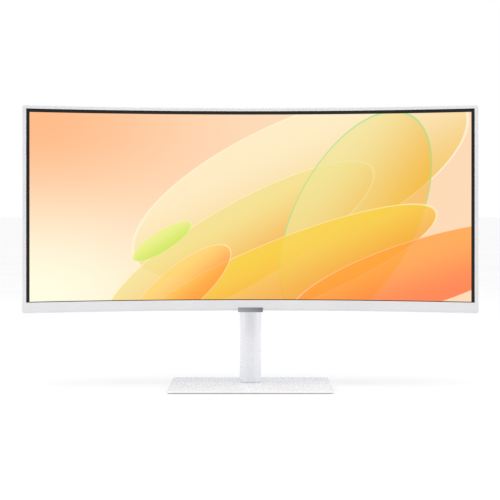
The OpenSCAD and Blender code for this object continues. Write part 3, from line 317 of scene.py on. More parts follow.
def eased_copy(name, node, width, segments=2):
    """A copy of a frame node with its triangles merged into whole faces and its edges rounded."""
    start()
    source = NODES[node]
    piece = source.copy()
    piece.data = source.data.copy()
    piece.parent = None
    for key in list(piece.keys()):
        del piece[key]
    bpy.context.scene.collection.objects.link(piece)
    piece.name = name
    piece.data.name = name
    reopen(piece)
    select_all()
    bpy.ops.mesh.customdata_custom_splitnormals_clear()
    bpy.ops.mesh.remove_doubles(threshold=NEAR / 20)
    bpy.ops.mesh.dissolve_limited(angle_limit=math.radians(0.2))
    bpy.ops.object.mode_set(mode="OBJECT")
    if width:
        apply_modifier(piece, "BEVEL", width=width, segments=segments, limit_method="ANGLE",
                       angle_limit=math.radians(40), use_clamp_overlap=True, miter_outer="MITER_ARC")
    return piece


def finish_piece(piece, body, nodes, smooth=30):
    """Gives a piece its shading, its finish, the body that it rides on and the nodes it stands for."""
    start()
    piece.select_set(True)
    bpy.context.view_layer.objects.active = piece
    bpy.ops.object.shade_smooth_by_angle(angle=math.radians(smooth))
    slot = SLOT_OF[nodes[0]]
    piece.data.materials.clear()
    piece.data.materials.append(finish_for(slot))
    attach(piece, body)
    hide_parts(*nodes)


# ---- Finishes ----


def add_node(tree, kind, inputs=None, **settings):
    """Adds a node, sets its settings, and fills or links its inputs."""
    made = tree.nodes.new(kind)
    for name, value in settings.items():
        setattr(made, name, value)
    for name, value in (inputs or {}).items():
        if isinstance(value, bpy.types.NodeSocket):
            tree.links.new(value, made.inputs[name])
        else:
            made.inputs[name].default_value = value
    return made


def new_finish(name, roughness, metallic=0.0, ior=1.5):
    """An empty finish: its material, its tree, its shader and the place on the piece."""
    material = bpy.data.materials.new(name)
    material.use_nodes = True
    tree = material.node_tree
    tree.nodes.clear()
    shader = add_node(tree, "ShaderNodeBsdfPrincipled",
                      {"Roughness": roughness, "Metallic": metallic, "IOR": ior})
    add_node(tree, "ShaderNodeOutputMaterial", {"Surface": shader.outputs["BSDF"]})
    place = add_node(tree, "ShaderNodeTexCoord").outputs["Object"]
    return material, tree, shader, place


def per_mm(size_mm):
    """Scale of a pattern whose grain is this many millimetres."""
    return 1 / (size_mm * MM)


def mottle(tree, shader, place, light, dark, patch_mm, low=0.35, high=0.65):
    """Drifts the base colour between two near tones in soft patches."""
    cloud = add_node(tree, "ShaderNodeTexNoise",
                     {"Vector": place, "Scale": per_mm(patch_mm), "Detail": 2.0})
    ramp = add_node(tree, "ShaderNodeMapRange",
                    {"Value": cloud.outputs["Fac"], "From Min": low, "From Max": high})
    tone = add_node(tree, "ShaderNodeMix", {"Factor": ramp.outputs["Result"], "A": dark, "B": light},
                    data_type="RGBA")
    tree.links.new(tone.outputs["Result"], shader.inputs["Base Color"])
    return tone


def grain(tree, shader, place, grain_mm, depth_mm, roughness_low, roughness_high, detail=3.0):
    """Gives the surface a fine relief, and lets its roughness follow it."""
    pits = add_node(tree, "ShaderNodeTexNoise",
                    {"Vector": place, "Scale": per_mm(grain_mm), "Detail": detail, "Roughness": 0.55})
    relief = add_node(tree, "ShaderNodeBump",
                      {"Height": pits.outputs["Fac"], "Strength": 1.0, "Distance": depth_mm * MM})
    shine = add_node(tree, "ShaderNodeMapRange",
                     {"Value": pits.outputs["Fac"], "From Min": 0.3, "From Max": 0.7,
                      "To Min": roughness_low, "To Max": roughness_high})
    tree.links.new(relief.outputs["Normal"], shader.inputs["Normal"])
    tree.links.new(shine.outputs["Result"], shader.inputs["Roughness"])
    return pits


def abs_white():
    # ABS moulded in a spark-eroded tool: satin, with a fine even pebble. The real pebble is 0.2 mm
    # across; it is drawn at 1.4 mm so that it shows
    material, tree, shader, place = new_finish("spark_textured_abs", 0.45, ior=1.53)
    mottle(tree, shader, place, colours().housing, colours().housing_shade, 140)
    grain(tree, shader, place, 1.4, 0.0015, 0.40, 0.50)
    return material


def powder_coat():
    # sheet steel with a baked polyester powder: semi-gloss with a slight orange peel, 2.5 mm across
    material, tree, shader, place = new_finish("powder_coated_steel", 0.3, ior=1.5)
    mottle(tree, shader, place, colours().powder, colours().powder_shade, 90)
    grain(tree, shader, place, 2.5, 0.0015, 0.24, 0.30, detail=1.0)
    return material


def painted_casting():
    # zinc die casting with a wet paint: smooth, with faint casting ripples 8 mm across
    material, tree, shader, place = new_finish("painted_die_casting", 0.36, ior=1.5)
    mottle(tree, shader, place, colours().casting, colours().housing_shade, 60)
    grain(tree, shader, place, 4, 0.02, 0.32, 0.42)
    return material


def anodised_trim():
    # aluminium strip, brushed along its length and anodised: fine lines, and a painted shade that darkens
    # it towards one end
    material, tree, shader, place = new_finish("brushed_anodised_aluminium", 0.38, metallic=0.75)
    lines = add_node(tree, "ShaderNodeMapping",
                     {"Vector": place, "Scale": (per_mm(30), per_mm(1), per_mm(0.5))})
    brushed = add_node(tree, "ShaderNodeTexNoise",
                       {"Vector": lines.outputs["Vector"], "Scale": 1.0, "Detail": 4.0})
    # painted shade: the base colour runs from the lit trim tone at -X to the shaded tone at +X, standing
    # in for light falling off across the strip
    shift = add_node(tree, "ShaderNodeSeparateXYZ", {"Vector": place})
    painted_shade_ramp = add_node(tree, "ShaderNodeMapRange",
                     {"Value": shift.outputs["X"], "From Min": -22 * MM, "From Max": 22 * MM})
    tone = add_node(tree, "ShaderNodeMix", {"Factor": painted_shade_ramp.outputs["Result"], "A": colours().trim,
                                            "B": colours().trim_shade}, data_type="RGBA")
    streak = add_node(tree, "ShaderNodeMix", {"Factor": 0.16, "A": tone.outputs["Result"],
                                              "B": brushed.outputs["Color"]},
                      data_type="RGBA", blend_type="SOFT_LIGHT")
    relief = add_node(tree, "ShaderNodeBump",
                      {"Height": brushed.outputs["Fac"], "Strength": 0.6, "Distance": 0.004 * MM})
    tree.links.new(streak.outputs["Result"], shader.inputs["Base Color"])
    tree.links.new(relief.outputs["Normal"], shader.inputs["Normal"])
    return material


def grey_plastic():
    # ABS in the controls' grey, the same spark texture as the housing
    material, tree, shader, place = new_finish("grey_abs", 0.42, ior=1.53)
    mottle(tree, shader, place, colours().grey_plastic, linear("#bfc1c6"), 25)
    grain(tree, shader, place, 0.9, 0.01, 0.36, 0.5)
    return material


def rubber():
    # nitrile rubber feet: dead matt, dusty in its pores
    material, tree, shader, place = new_finish("nitrile_rubber", 0.85, ior=1.52)
    mottle(tree, shader, place, colours().rubber, linear("#3d3f43"), 4)
    grain(tree, shader, place, 0.8, 0.03, 0.78, 0.92)
    return material


def zinc_steel():
    # zinc-plated steel: cool grey, slightly cloudy from the bath
    material, tree, shader, place = new_finish("zinc_plated_steel", 0.34, metallic=1.0)
    mottle(tree, shader, place, linear("#b7bbc0"), linear("#9da2a9"), 6)
    grain(tree, shader, place, 1.2, 0.006, 0.28, 0.42)
    return material


def bright_steel():
    # ground steel: bright, with fine turning marks 0.4 mm apart
    material, tree, shader, place = new_finish("ground_steel", 0.24, metallic=1.0)
    mottle(tree, shader, place, linear("#cfd2d6"), linear("#b9bdc3"), 3)
    marks = add_node(tree, "ShaderNodeTexWave", {"Vector": place, "Scale": per_mm(0.4) / math.tau,
                                                 "Distortion": 0.6}, bands_direction="Z")
    relief = add_node(tree, "ShaderNodeBump",
                      {"Height": marks.outputs["Fac"], "Strength": 0.4, "Distance": 0.004 * MM})
    tree.links.new(relief.outputs["Normal"], shader.inputs["Normal"])
    return material


def acetal():
    # natural acetal, turned or moulded: milky, waxy and a little translucent
    material, tree, shader, place = new_finish("natural_acetal", 0.34, ior=1.48)
    mottle(tree, shader, place, linear("#e6e5de"), linear("#dcdbd2"), 9)
    grain(tree, shader, place, 1.5, 0.008, 0.3, 0.4)
    shader.inputs["Subsurface Weight"].default_value = 0.15
    shader.inputs["Subsurface Radius"].default_value = (2 * MM, 2 * MM, 1.6 * MM)
    return material


def friction_fibre():
    # pressed fibre and spring steel washers: brown-grey, with flecks of fibre
    material, tree, shader, place = new_finish("pressed_fibre", 0.6)
    mottle(tree, shader, place, linear("#a29a8c"), linear("#7a7369"), 1.2)
    grain(tree, shader, place, 0.6, 0.015, 0.5, 0.7)
    return material


def brass():
    # turned brass, left bare: warm, with a faint tarnish
    material, tree, shader, place = new_finish("turned_brass", 0.28, metallic=1.0)
    mottle(tree, shader, place, linear("#d2ad62"), linear("#b28b45"), 5)
    grain(tree, shader, place, 0.8, 0.005, 0.22, 0.36)
    return material


def light_guide_acrylic():
    # cast acrylic with a printed dot grid, 4 mm apart, that lets the light out
    material, tree, shader, place = new_finish("dotted_acrylic", 0.08, ior=1.49)
    shader.inputs["Transmission Weight"].default_value = 0.8
    dots = add_node(tree, "ShaderNodeTexVoronoi",
                    {"Vector": place, "Scale": per_mm(4), "Randomness": 0.0})
    ring = add_node(tree, "ShaderNodeMapRange",
                    {"Value": dots.outputs["Distance"], "From Min": 0.25, "From Max": 0.3})
    tone = add_node(tree, "ShaderNodeMix", {"Factor": ring.outputs["Result"], "A": linear("#ffffff"),
                                            "B": linear("#e3eef0")}, data_type="RGBA")
    tree.links.new(tone.outputs["Result"], shader.inputs["Base Color"])
    return material


def optical_film():
    # prism film: pearly, with ridges drawn 1 mm apart; the real ones are twenty times finer
    material, tree, shader, place = new_finish("prism_film", 0.25, ior=1.58)
    mottle(tree, shader, place, linear("#f3f3ef"), linear("#e6e9ea"), 60)
    ridges = add_node(tree, "ShaderNodeTexWave", {"Vector": place, "Scale": per_mm(1) / math.tau},
                      bands_direction="Z", wave_profile="TRI")
    relief = add_node(tree, "ShaderNodeBump",
                      {"Height": ridges.outputs["Fac"], "Strength": 0.5, "Distance": 0.05 * MM})
    tree.links.new(relief.outputs["Normal"], shader.inputs["Normal"])
    return material


def led_strip():
    # white solder mask with a yellow phosphor chip every 7 mm
    material, tree, shader, place = new_finish("led_strip_board", 0.4)
    pitch = add_node(tree, "ShaderNodeTexWave", {"Vector": place, "Scale": per_mm(7) / 20},
                     bands_direction="X")
    chip = add_node(tree, "ShaderNodeMapRange",
                    {"Value": pitch.outputs["Fac"], "From Min": 0.55, "From Max": 0.6})
    tone = add_node(tree, "ShaderNodeMix", {"Factor": chip.outputs["Result"], "A": linear("#f1f1ec"),
                                            "B": linear("#e3c64d")}, data_type="RGBA")
    tree.links.new(tone.outputs["Result"], shader.inputs["Base Color"])
    grain(tree, shader, place, 1.5, 0.01, 0.35, 0.5)
    return material


def black_abs():
    # black ABS of the inner mouldings: matt, with a coarser spark texture
    material, tree, shader, place = new_finish("black_abs", 0.55, ior=1.53)
    mottle(tree, shader, place, linear("#232427"), linear("#191a1c"), 30)
    grain(tree, shader, place, 1.1, 0.02, 0.48, 0.66)
    return material


def galvanised_sheet():
    # hot-dip galvanised sheet: crystals of 9 mm that each catch the light a little differently
    material, tree, shader, place = new_finish("galvanised_sheet", 0.4, metallic=0.9)
    spangle = add_node(tree, "ShaderNodeTexVoronoi", {"Vector": place, "Scale": per_mm(9)})
    level = add_node(tree, "ShaderNodeSeparateColor", {"Color": spangle.outputs["Color"]})
    tone = add_node(tree, "ShaderNodeMix", {"Factor": level.outputs["Red"], "A": linear("#8f959b"),
                                            "B": linear("#b4b9be")}, data_type="RGBA")
    shine = add_node(tree, "ShaderNodeMapRange",
                     {"Value": level.outputs["Green"], "To Min": 0.3, "To Max": 0.5})
    tree.links.new(tone.outputs["Result"], shader.inputs["Base Color"])
    tree.links.new(shine.outputs["Result"], shader.inputs["Roughness"])
    return material


def circuit_board():
    # glass-epoxy board under green solder mask: darker over bare epoxy, lighter over the copper runs
    material, tree, shader, place = new_finish("green_circuit_board", 0.3, ior=1.55)
    runs = add_node(tree, "ShaderNodeTexBrick",
                    {"Vector": place, "Scale": per_mm(9), "Color1": linear("#1f6a3b"),
                     "Color2": linear("#236f42"), "Mortar": linear("#2f8a52"), "Mortar Size": 0.07,
                     "Brick Width": 1.3, "Row Height": 0.35})
    relief = add_node(tree, "ShaderNodeBump",
                      {"Height": runs.outputs["Fac"], "Strength": 0.5, "Distance": 0.035 * MM})
    tree.links.new(runs.outputs["Color"], shader.inputs["Base Color"])
    tree.links.new(relief.outputs["Normal"], shader.inputs["Normal"])
    return material


def tinned_shell():
    # tin-plated pressed steel of the sockets: bright and slightly milky
    material, tree, shader, place = new_finish("tin_plated_steel", 0.3, metallic=1.0)
    mottle(tree, shader, place, linear("#c6c9cc"), linear("#b0b4b9"), 4)
    grain(tree, shader, place, 1, 0.006, 0.24, 0.38)
    return material


def petal(tree, below, plane, centre_mm, turn, reach_mm, near, far, edge, cover):
    """Lays one clear-edged oval sheet of tinted light over the picture so far."""
    local = add_node(tree, "ShaderNodeMapping",
                     {"Vector": plane, "Location": [c * MM for c in centre_mm] + [0],
                      "Rotation": (0, 0, math.radians(turn)), "Scale": [r * MM for r in reach_mm] + [1]},
                     vector_type="TEXTURE")
    reach = add_node(tree, "ShaderNodeVectorMath", {0: local.outputs["Vector"]}, operation="LENGTH")
    inside = add_node(tree, "ShaderNodeMapRange",
                      {"Value": reach.outputs["Value"], "From Min": 1.0, "From Max": 0.985,
                       "To Max": cover})
    across = add_node(tree, "ShaderNodeSeparateXYZ", {"Vector": local.outputs["Vector"]})
    fade = add_node(tree, "ShaderNodeMapRange",
                    {"Value": across.outputs["Y"], "From Min": -0.9, "From Max": 0.8},
                    interpolation_type="SMOOTHSTEP")
    tint = add_node(tree, "ShaderNodeMix", {"Factor": fade.outputs["Result"], "A": linear(near),
                                            "B": linear(far)}, data_type="RGBA")
    laid = add_node(tree, "ShaderNodeMix", {"Factor": inside.outputs["Result"], "A": below,
                                            "B": tint.outputs["Result"]}, data_type="RGBA")
    off = add_node(tree, "ShaderNodeMath", {0: reach.outputs["Value"], 1: 0.99}, operation="SUBTRACT")
    away = add_node(tree, "ShaderNodeMath", {0: off.outputs["Value"]}, operation="ABSOLUTE")
    line = add_node(tree, "ShaderNodeMapRange",
                    {"Value": away.outputs["Value"], "From Min": 0.012, "From Max": 0.004,
                     "To Max": 0.75})
    rimmed = add_node(tree, "ShaderNodeMix", {"Factor": line.outputs["Result"],
                                              "A": laid.outputs["Result"], "B": linear(edge)},
                      data_type="RGBA")
    return rimmed.outputs["Result"]


# generic abstract picture: centre in mm from the picture's middle, turn in degrees, half axes in mm,
# tint at the lower and upper side, rim, and how much it covers
PETALS = [
    ((90, 40), 24, (330, 120), "#f0c23a", "#fdf0c8", "#fff6d8", 0.75),
    ((-20, -70), 30, (280, 74), "#f6a93a", "#f3e08a", "#fff3c0", 0.8),
    ((190, -20), 62, (210, 110), "#f2b51c", "#efe394", "#8fe08a", 0.7),
    ((60, -120), 22, (300, 62), "#f4a21e", "#f7d03c", "#ffeebc", 0.85),
    ((300, -120), 18, (240, 60), "#ff6a1a", "#ffa02c", "#ffd0a8", 0.85),
    ((-130, -150), 40, (120, 40), "#ff8a2c", "#ffd36a", "#fff0c4", 0.7),
    ((-160, -62), 32, (62, 18), "#c8e84a", "#e6f27a", "#f4fbc8", 0.8),
]


def lit_glass():
    # anti-glare cover glass over a lit panel: a matt-etched face, black ink round the edge, and the
    # picture shining through the middle
    size, tint, place_of = sizes(), colours(), Layout()
    material, tree, shader, place = new_finish("anti_glare_glass", 0.42, ior=1.5)
    spot = add_node(tree, "ShaderNodeSeparateXYZ", {"Vector": place})
    back = add_node(tree, "ShaderNodeMath", {0: spot.outputs["Y"], 1: place_of.axis_y},
                    operation="SUBTRACT")
    angle = add_node(tree, "ShaderNodeMath", {0: spot.outputs["X"], 1: back.outputs["Value"]},
                     operation="ARCTAN2")
    along = add_node(tree, "ShaderNodeMath", {0: angle.outputs["Value"], 1: place_of.radius},
                     operation="MULTIPLY")
    middle = (place_of.picture_low + place_of.picture_high) / 2
    up = add_node(tree, "ShaderNodeMath", {0: spot.outputs["Z"], 1: middle}, operation="SUBTRACT")
    plane = add_node(tree, "ShaderNodeCombineXYZ",
                     {"X": along.outputs["Value"], "Y": up.outputs["Value"]}).outputs["Vector"]
    # ground of the picture: warm at the upper left, cream at the lower left, peach at the right
    fall = add_node(tree, "ShaderNodeMapRange",
                    {"Value": up.outputs["Value"], "From Min": -0.16, "From Max": 0.15},
                    interpolation_type="SMOOTHSTEP")
    left = add_node(tree, "ShaderNodeMix", {"Factor": fall.outputs["Result"], "A": tint.picture_cream,
                                            "B": tint.picture_warm}, data_type="RGBA")
    across = add_node(tree, "ShaderNodeMapRange",
                      {"Value": along.outputs["Value"], "From Min": -0.4, "From Max": 0.05},
                      interpolation_type="SMOOTHSTEP")
    ground = add_node(tree, "ShaderNodeMix", {"Factor": across.outputs["Result"],
                                              "A": left.outputs["Result"], "B": tint.picture_peach},
                      data_type="RGBA")
    picture = ground.outputs["Result"]
    for sheet in PETALS:
        picture = petal(tree, picture, plane, *sheet)
    # the picture's edges, a fifth of a millimetre soft
    side = add_node(tree, "ShaderNodeMath", {0: along.outputs["Value"]}, operation="ABSOLUTE")
    height = add_node(tree, "ShaderNodeMath", {0: up.outputs["Value"]}, operation="ABSOLUTE")
    edge = 0.2 * MM
    limits = ((side, size.picture_arc / 2), (height, size.picture_height / 2))
    shown = [add_node(tree, "ShaderNodeMapRange",
                      {"Value": reach.outputs["Value"], "From Min": limit, "From Max": limit - edge})
             for reach, limit in limits]
    window = add_node(tree, "ShaderNodeMath",
                      {0: shown[0].outputs["Result"], 1: shown[1].outputs["Result"]},
                      operation="MULTIPLY")
    light = add_node(tree, "ShaderNodeMix", {"Factor": window.outputs["Value"], "A": linear("#000000"),
                                             "B": picture}, data_type="RGBA")
    ink = add_node(tree, "ShaderNodeMix", {"Factor": window.outputs["Value"], "A": tint.border_ink,
                                           "B": linear("#050505")}, data_type="RGBA")
    tree.links.new(light.outputs["Result"], shader.inputs["Emission Color"])
    tree.links.new(ink.outputs["Result"], shader.inputs["Base Color"])
    shader.inputs["Emission Strength"].default_value = 1.0
    shader.inputs["Specular IOR Level"].default_value = 0.3
    grain(tree, shader, place, 0.8, 0.004, 0.38, 0.46)
    return material


FINISHES = {
    "white_moulded_plastic": abs_white,
    "white_painted_steel": powder_coat,
    "white_painted_casting": painted_casting,
    "grey_trim_metal": anodised_trim,
    "grey_plastic": grey_plastic,
    "rubber": rubber,
    "steel": zinc_steel,
    "bright_steel": bright_steel,
    "bearing_plastic": acetal,
    "washer_set": friction_fibre,
    "brass": brass,
    "screen_glass": lit_glass,
    "clear_acrylic": light_guide_acrylic,
    "film": optical_film,
    "led_board": led_strip,
    "black_plastic": black_abs,
    "tray_metal": galvanised_sheet,
    "circuit_board": circuit_board,
    "socket_metal": tinned_shell,
}
made_finishes = {}


def finish_for(slot):
    """The finish of a material slot, made the first time that it is asked for."""
    if slot not in made_finishes:
        made_finishes[slot] = FINISHES[slot]()
    return made_finishes[slot]


# ---- Pieces ----


class MONITOR_OT_stage(bpy.types.Operator):
    """Adds the floor, the studio light and the camera"""

    bl_idname = "monitor.stage"
    bl_label = "Studio"

    def execute(self, context):
        start()
        bpy.ops.mesh.primitive_plane_add(size=120)
        floor = open_piece("studio_floor")
        bpy.ops.mesh.subdivide(number_cuts=3)
        bpy.ops.object.mode_set(mode="OBJECT")
        paper, tree, shader, place = new_finish("seamless_paper", 0.7)
        mottle(tree, shader, place, colours().floor, linear("#f3f3f4"), 400)
        floor.data.materials.append(paper)

        world = bpy.data.worlds.new("studio")
        context.scene.world = world
        world.use_nodes = True
        tree = world.node_tree
        tree.nodes.clear()
        ray = add_node(tree, "ShaderNodeLightPath").outputs["Is Camera Ray"]
        seen = add_node(tree, "ShaderNodeMapRange", {"Value": ray, "To Min": 0.7, "To Max": 1.0})
        sky = add_node(tree, "ShaderNodeBackground",
                       {"Color": (1, 1, 1, 1), "Strength": seen.outputs["Result"]})
        add_node(tree, "ShaderNodeOutputWorld", {"Surface": sky.outputs["Background"]})

        for name, place, size, power in (
            ("left_softbox", (-2.6, -0.5, 0.9), (1.2, 2.2), 24),
            ("right_softbox", (2.6, -0.5, 0.9), (1.2, 2.2), 24),
        ):
            lamp = bpy.data.lights.new(name, "AREA")
            lamp.shape = "RECTANGLE"
            lamp.size, lamp.size_y = size
            lamp.energy = power
            holder = bpy.data.objects.new(name, lamp)
            holder.location = place
            aim = Vector((0, 0, 0.25)) - Vector(place)
            holder.rotation_euler = aim.to_track_quat("-Z", "Y").to_euler()
            context.scene.collection.objects.link(holder)
        # a silk over the whole studio: even light from above, a little from the front
        silk = bpy.data.lights.new("overhead_silk", "SUN")
        silk.energy = 1.25
        silk.angle = math.radians(80)
        holder = bpy.data.objects.new("overhead_silk", silk)
        holder.rotation_euler = (math.radians(18), 0, 0)
        context.scene.collection.objects.link(holder)

        camera = bpy.data.cameras.new("camera")
        camera.sensor_width = 36
        camera.lens = 113.6
        camera.shift_x = -0.0009
        camera.shift_y = -0.0812
        holder = bpy.data.objects.new("camera", camera)
        # level with the picture's middle, 2.85 m in front of the glass
        holder.location = (0, Layout().glass_y - 2.85, 0.3237)
        holder.rotation_euler = (math.pi / 2, 0, 0)
        context.scene.collection.objects.link(holder)
        context.scene.camera = holder
        context.scene.view_settings.view_transform = "Standard"
        return {"FINISHED"}


class MONITOR_OT_screen(bpy.types.Operator):
    """Adds the curved glass with its picture"""

    bl_idname = "monitor.screen"
    bl_label = "Screen"

    def execute(self, context):
        size, place = sizes(), Layout()
        low = place.window_low - size.glass_foot
        high = place.window_high - size.glass_gap
        half = place.window_half - size.glass_gap
        glass = curved_plate("display_glass", 0, size.glass_thickness, low, high, half, place)
        reopen(glass)
        pick("EDGE", lambda e: len(e.link_faces) == 2 and e.calc_face_angle() > math.radians(60))
        soften(0.15 * MM, 2)
        close_piece()
        finish_piece(glass, "display", ["lcd_cell"])
        return {"FINISHED"}


class MONITOR_OT_bezel(bpy.types.Operator):
    """Adds the white bezel: thin rims, and a chin with a rounded lower edge"""

    bl_idname = "monitor.bezel"
    bl_label = "Bezel"

    def execute(self, context):
        size, place = sizes(), Layout()
        front, seam = -size.rim_lip, size.seam_depth
        bezel = curved_plate("front_bezel_moulding", front, seam, place.bottom, place.top, place.half,
                             place, chin=size.chin_round)
        # corners of the housing, seen from the front
        outline = rounded_block("outline", (-place.half, -1, place.bottom), (place.half, 1, place.top),
                                size.corner_round, 0, axis=1)
        apply_modifier(bezel, "BOOLEAN", object=outline, operation="INTERSECT", solver="EXACT")
        bpy.data.objects.remove(outline)
        reopen(bezel)
        for x in (-place.window_half, place.window_half):
            bisect((x, 0, 0), (1, 0, 0))
        for z in (place.window_low, place.window_high):
            bisect((0, 0, z), (0, 0, 1))

        def at_depth(depth):
            return lambda point: abs(place.depth(point) - depth) < 0.05 * MM

        def in_window(point):
            return (abs(point.x) < place.window_half + NEAR
                    and place.window_low - NEAR < point.z < place.window_high + NEAR)

        pick("FACE", both(at_depth(seam)))
        bpy.ops.mesh.delete(type="FACE")
        pick("FACE", both(lambda point: at_depth(front)(point) and in_window(point)))
        bpy.ops.mesh.delete(type="FACE")
        # wall of the window, straight back past the glass's edge
        pick("EDGE", lambda e: e.is_boundary and both(lambda p: at_depth(front)(p) and in_window(p))(e))
        bpy.ops.mesh.extrude_region_move(TRANSFORM_OT_translate={"value": (0, size.window_wall, 0)})

        def front_edge(edge):
            return edge.calc_face_angle(0) > math.radians(45) and both(at_depth(front))(edge)

        # the rims' and the window's front edges
        pick("EDGE", lambda e: front_edge(e) and not both(in_window)(e))
        soften(size.rim_round)
        pick("EDGE", lambda e: front_edge(e) and both(in_window)(e))
        soften(size.window_round)
        close_piece()
        apply_modifier(bezel, "SOLIDIFY", thickness=size.bezel_wall, offset=-1)
        self.cut_pod_seat(bezel, place)
        finish_piece(bezel, "display", ["front_bezel"])
        return {"FINISHED"}

    def cut_pod_seat(self, bezel, place):
        """Opens the chin's middle where the badge pod sits."""
        low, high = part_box("badge_pod")
        gap = 0.1 * MM
        add_block("pod_seat", (low.x - gap, place.glass_y - 5 * MM, low.z - gap),
                  (high.x + gap, place.glass_y + 12 * MM, high.z + gap))
        cutter = bpy.context.active_object
        close_piece()
        cut(bezel, cutter)


class MONITOR_OT_rear_cover(bpy.types.Operator):
    """Adds the rear cover with its vents, recess and plug bays"""

    bl_idname = "monitor.rear_cover"
    bl_label = "Rear cover"

    def execute(self, context):
        cover = eased_copy("rear_cover_moulding", "rear_cover", 0)
        finish_piece(cover, "display", ["rear_cover"])
        # the big faces lead the shading, so that the vents' slivers leave no streaks
        apply_modifier(cover, "WEIGHTED_NORMAL", keep_sharp=True, weight=100)
        return {"FINISHED"}


class MONITOR_OT_controls(bpy.types.Operator):
    """Adds the blank badge, its pod and the jog button"""

    bl_idname = "monitor.controls"
    bl_label = "Badge and controls"

    def execute(self, context):
        size, place = sizes(), Layout()
        low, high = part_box("badge")
        badge = curved_plate("blank_badge", -size.rim_lip - size.badge_thickness, -size.rim_lip,
                             low.z, high.z, high.x, place, step=0.25)
        reopen(badge)
        pick("EDGE", both(lambda p: high.x - abs(p.x) < NEAR and min(p.z - low.z, high.z - p.z) < NEAR))
        soften(0.6 * MM, 4)
        pick("EDGE", lambda e: e.calc_face_angle(0) > math.radians(60)
             and both(lambda p: place.depth(p) < -size.rim_lip - 0.5 * MM)(e))
        soften(0.25 * MM, 2)
        close_piece()
        finish_piece(badge, "display", ["badge"])
        pod = eased_copy("badge_pod_moulding", "badge_pod", 0.25 * MM)
        finish_piece(pod, "display", ["badge_pod"])
        self.add_jog_cap()
        return {"FINISHED"}

    def add_jog_cap(self):
        low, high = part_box("jog_cap")
        radius = (high.x - low.x) / 2
        centre = (low + high) / 2
        cap_height, stem_radius, dish = 4.2 * MM, 1.1 * MM, 0.4 * MM
        cap = add_rod("jog_cap_moulding", (centre.x, centre.y, low.z), radius, cap_height)
        # thumb dish, in rings that rise towards the middle
        rings = 5
        pick("FACE", both(lambda p: p.z < low.z + NEAR))
        for ring in range(1, rings + 1):
            bpy.ops.mesh.inset(thickness=radius / (rings + 1.5), depth=0)
            rise = dish * (2 * ring - 1) / rings ** 2
            bpy.ops.transform.translate(value=(0, 0, (dish * 2 / rings - rise)))
        # stem, drawn up from the top face
        pick("FACE", both(lambda p: p.z > low.z + cap_height - NEAR))
        bpy.ops.mesh.inset(thickness=radius - stem_radius, depth=0)
        bpy.ops.mesh.extrude_region_move(
            TRANSFORM_OT_translate={"value": (0, 0, high.z - low.z - cap_height)})
        pick("EDGE", both(lambda p: math.hypot(p.x - centre.x, p.y - centre.y) > radius - NEAR
                          and (p.z < low.z + NEAR or p.z > low.z + cap_height - NEAR)))
        soften(0.35 * MM)
        close_piece()
        finish_piece(cap, "jog_cap", ["jog_cap"])


class MONITOR_OT_base(bpy.types.Operator):
    """Adds the base plate and its four feet"""

    bl_idname = "monitor.base"
    bl_label = "Base"

    def execute(self, context):
        size = sizes()
        low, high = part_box("base_plate")
        plate = rounded_block("base_plate_pressing", low, high, size.base_corner, size.base_rim)
        feet_low, feet_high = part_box("rubber_feet")
        radius = 9 * MM
        recess = 1.0 * MM
        corners = [(x, y) for x in (feet_low.x + radius, feet_high.x - radius)
                   for y in (feet_low.y + radius, feet_high.y - radius)]
        for x, y in corners:
            hole = add_rod("foot_recess", (x, y, low.z - recess), radius + 0.1 * MM,
                           recess + feet_high.z - low.z)
            close_piece()
            cut(plate, hole)
        finish_piece(plate, "base", ["base_plate"])
        self.add_feet(corners, radius, feet_high.z)
        return {"FINISHED"}

    def add_feet(self, corners, radius, height):
        """One foot with a grip ring under it, modelled once and copied to the other corners."""
        x, y = corners[0]
        foot = add_rod("foot_1", (x, y, 0), radius, height, sides=64)
        pick("FACE", both(lambda p: p.z < NEAR))
        bpy.ops.mesh.inset(thickness=2 * MM, depth=0)
        bpy.ops.mesh.inset(thickness=0.3 * MM, depth=0)
        bpy.ops.transform.translate(value=(0, 0, 0.4 * MM))
        pick("EDGE", both(lambda p: p.z < NEAR and math.hypot(p.x - x, p.y - y) > radius - NEAR))
        soften(0.4 * MM)
        close_piece()
        feet = [foot]
        for number, (far_x, far_y) in enumerate(corners[1:], start=2):
            start()
            other = foot.copy()
            other.data = foot.data.copy()
            other.name = f"foot_{number}"
            other.data.name = other.name
            bpy.context.scene.collection.objects.link(other)
            other.location = (far_x - x, far_y - y, 0)
            other.select_set(True)
            bpy.context.view_layer.objects.active = other
            bpy.ops.object.transform_apply(location=True, rotation=True, scale=True)
            feet.append(other)
        for piece in feet:
            finish_piece(piece, "base", ["rubber_feet"])


class MONITOR_OT_column(bpy.types.Operator):
    """Adds the outer column, its collar and the cable clip"""

    bl_idname = "monitor.column"
    bl_label = "Column"

    def execute(self, context):
        for name, node, body, width in (
            ("column_tube", "outer_column", "column", 0.3 * MM),
            ("column_collar_ring", "column_collar", "column", 0.4 * MM),
            ("cable_clip_moulding", "cable_clip", "column", 0.4 * MM),
        ):
            finish_piece(eased_copy(name, node, width), body, [node])
        return {"FINISHED"}


class MONITOR_OT_mast(bpy.types.Operator):
    """Adds the mast and its head"""

    bl_idname = "monitor.mast"
    bl_label = "Mast"

    def execute(self, context):
        for name, node, body, width in (
            ("mast_extrusion", "mast_tube", "mast", 0.3 * MM),
            ("mast_head_casting", "mast_head", "mast", 0.5 * MM),
            ("mast_head_lid", "mast_head_cap", "mast", 0.5 * MM),
        ):
            finish_piece(eased_copy(name, node, width), body, [node])
        return {"FINISHED"}


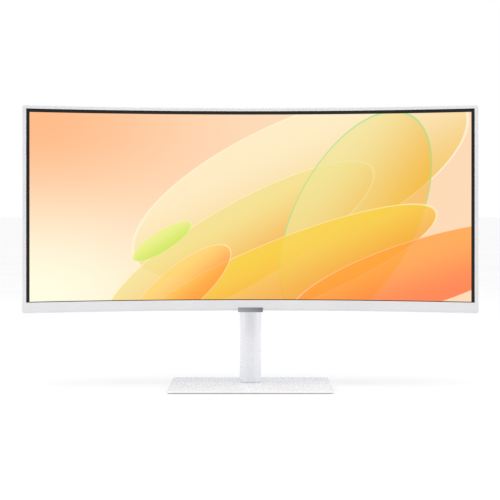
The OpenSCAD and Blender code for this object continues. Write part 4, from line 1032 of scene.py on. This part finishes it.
class MONITOR_OT_mount(bpy.types.Operator):
    """Adds the mount's cover and the release button"""

    bl_idname = "monitor.mount"
    bl_label = "Mount"

    def execute(self, context):
        cover = eased_copy("mount_cover_moulding", "mount_cover", 0.6 * MM)
        finish_piece(cover, "display", ["mount_cover"])
        low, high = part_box("release_button")
        button = rounded_block("release_button_cap", low, high, 1.5 * MM, 0.5 * MM, axis=1)
        finish_piece(button, "release_catch", ["release_button"])
        return {"FINISHED"}


class MONITOR_OT_works(bpy.types.Operator):
    """Gives every other piece of the frame its finish"""

    bl_idname = "monitor.works"
    bl_label = "Inner pieces"

    def execute(self, context):
        for node, piece in NODES.items():
            material = finish_for(SLOT_OF[node])
            piece.data.materials.clear()
            piece.data.materials.append(material)
        return {"FINISHED"}


STEPS = (MONITOR_OT_stage, MONITOR_OT_screen, MONITOR_OT_bezel, MONITOR_OT_rear_cover, MONITOR_OT_controls,
         MONITOR_OT_base, MONITOR_OT_column, MONITOR_OT_mast, MONITOR_OT_mount, MONITOR_OT_works)


class MONITOR_PT_pieces(bpy.types.Panel):
    """Lists the monitor's pieces, sizes and colours"""

    bl_label = "Curved Desk Monitor"
    bl_idname = "MONITOR_PT_pieces"
    bl_space_type = "VIEW_3D"
    bl_region_type = "UI"
    bl_category = "Monitor"

    def draw(self, context):
        column = self.layout.column()
        for step in STEPS:
            column.operator(step.bl_idname)
        for group in (context.scene.monitor_sizes, context.scene.monitor_colours):
            box = self.layout.box()
            for name in group.__annotations__:
                box.prop(group, name)


CLASSES = (MonitorSizes, MonitorColours, *STEPS, MONITOR_PT_pieces)


def register():
    for cls in CLASSES:
        bpy.utils.register_class(cls)
    bpy.types.Scene.monitor_sizes = PointerProperty(type=MonitorSizes)
    bpy.types.Scene.monitor_colours = PointerProperty(type=MonitorColours)


def unregister():
    del bpy.types.Scene.monitor_colours
    del bpy.types.Scene.monitor_sizes
    for cls in reversed(CLASSES):
        bpy.utils.unregister_class(cls)


def main():
    """Builds everything in order."""
    register()
    for step in STEPS:
        getattr(bpy.ops.monitor, step.bl_idname.split(".")[1])()


if __name__ == "__main__":
    main()
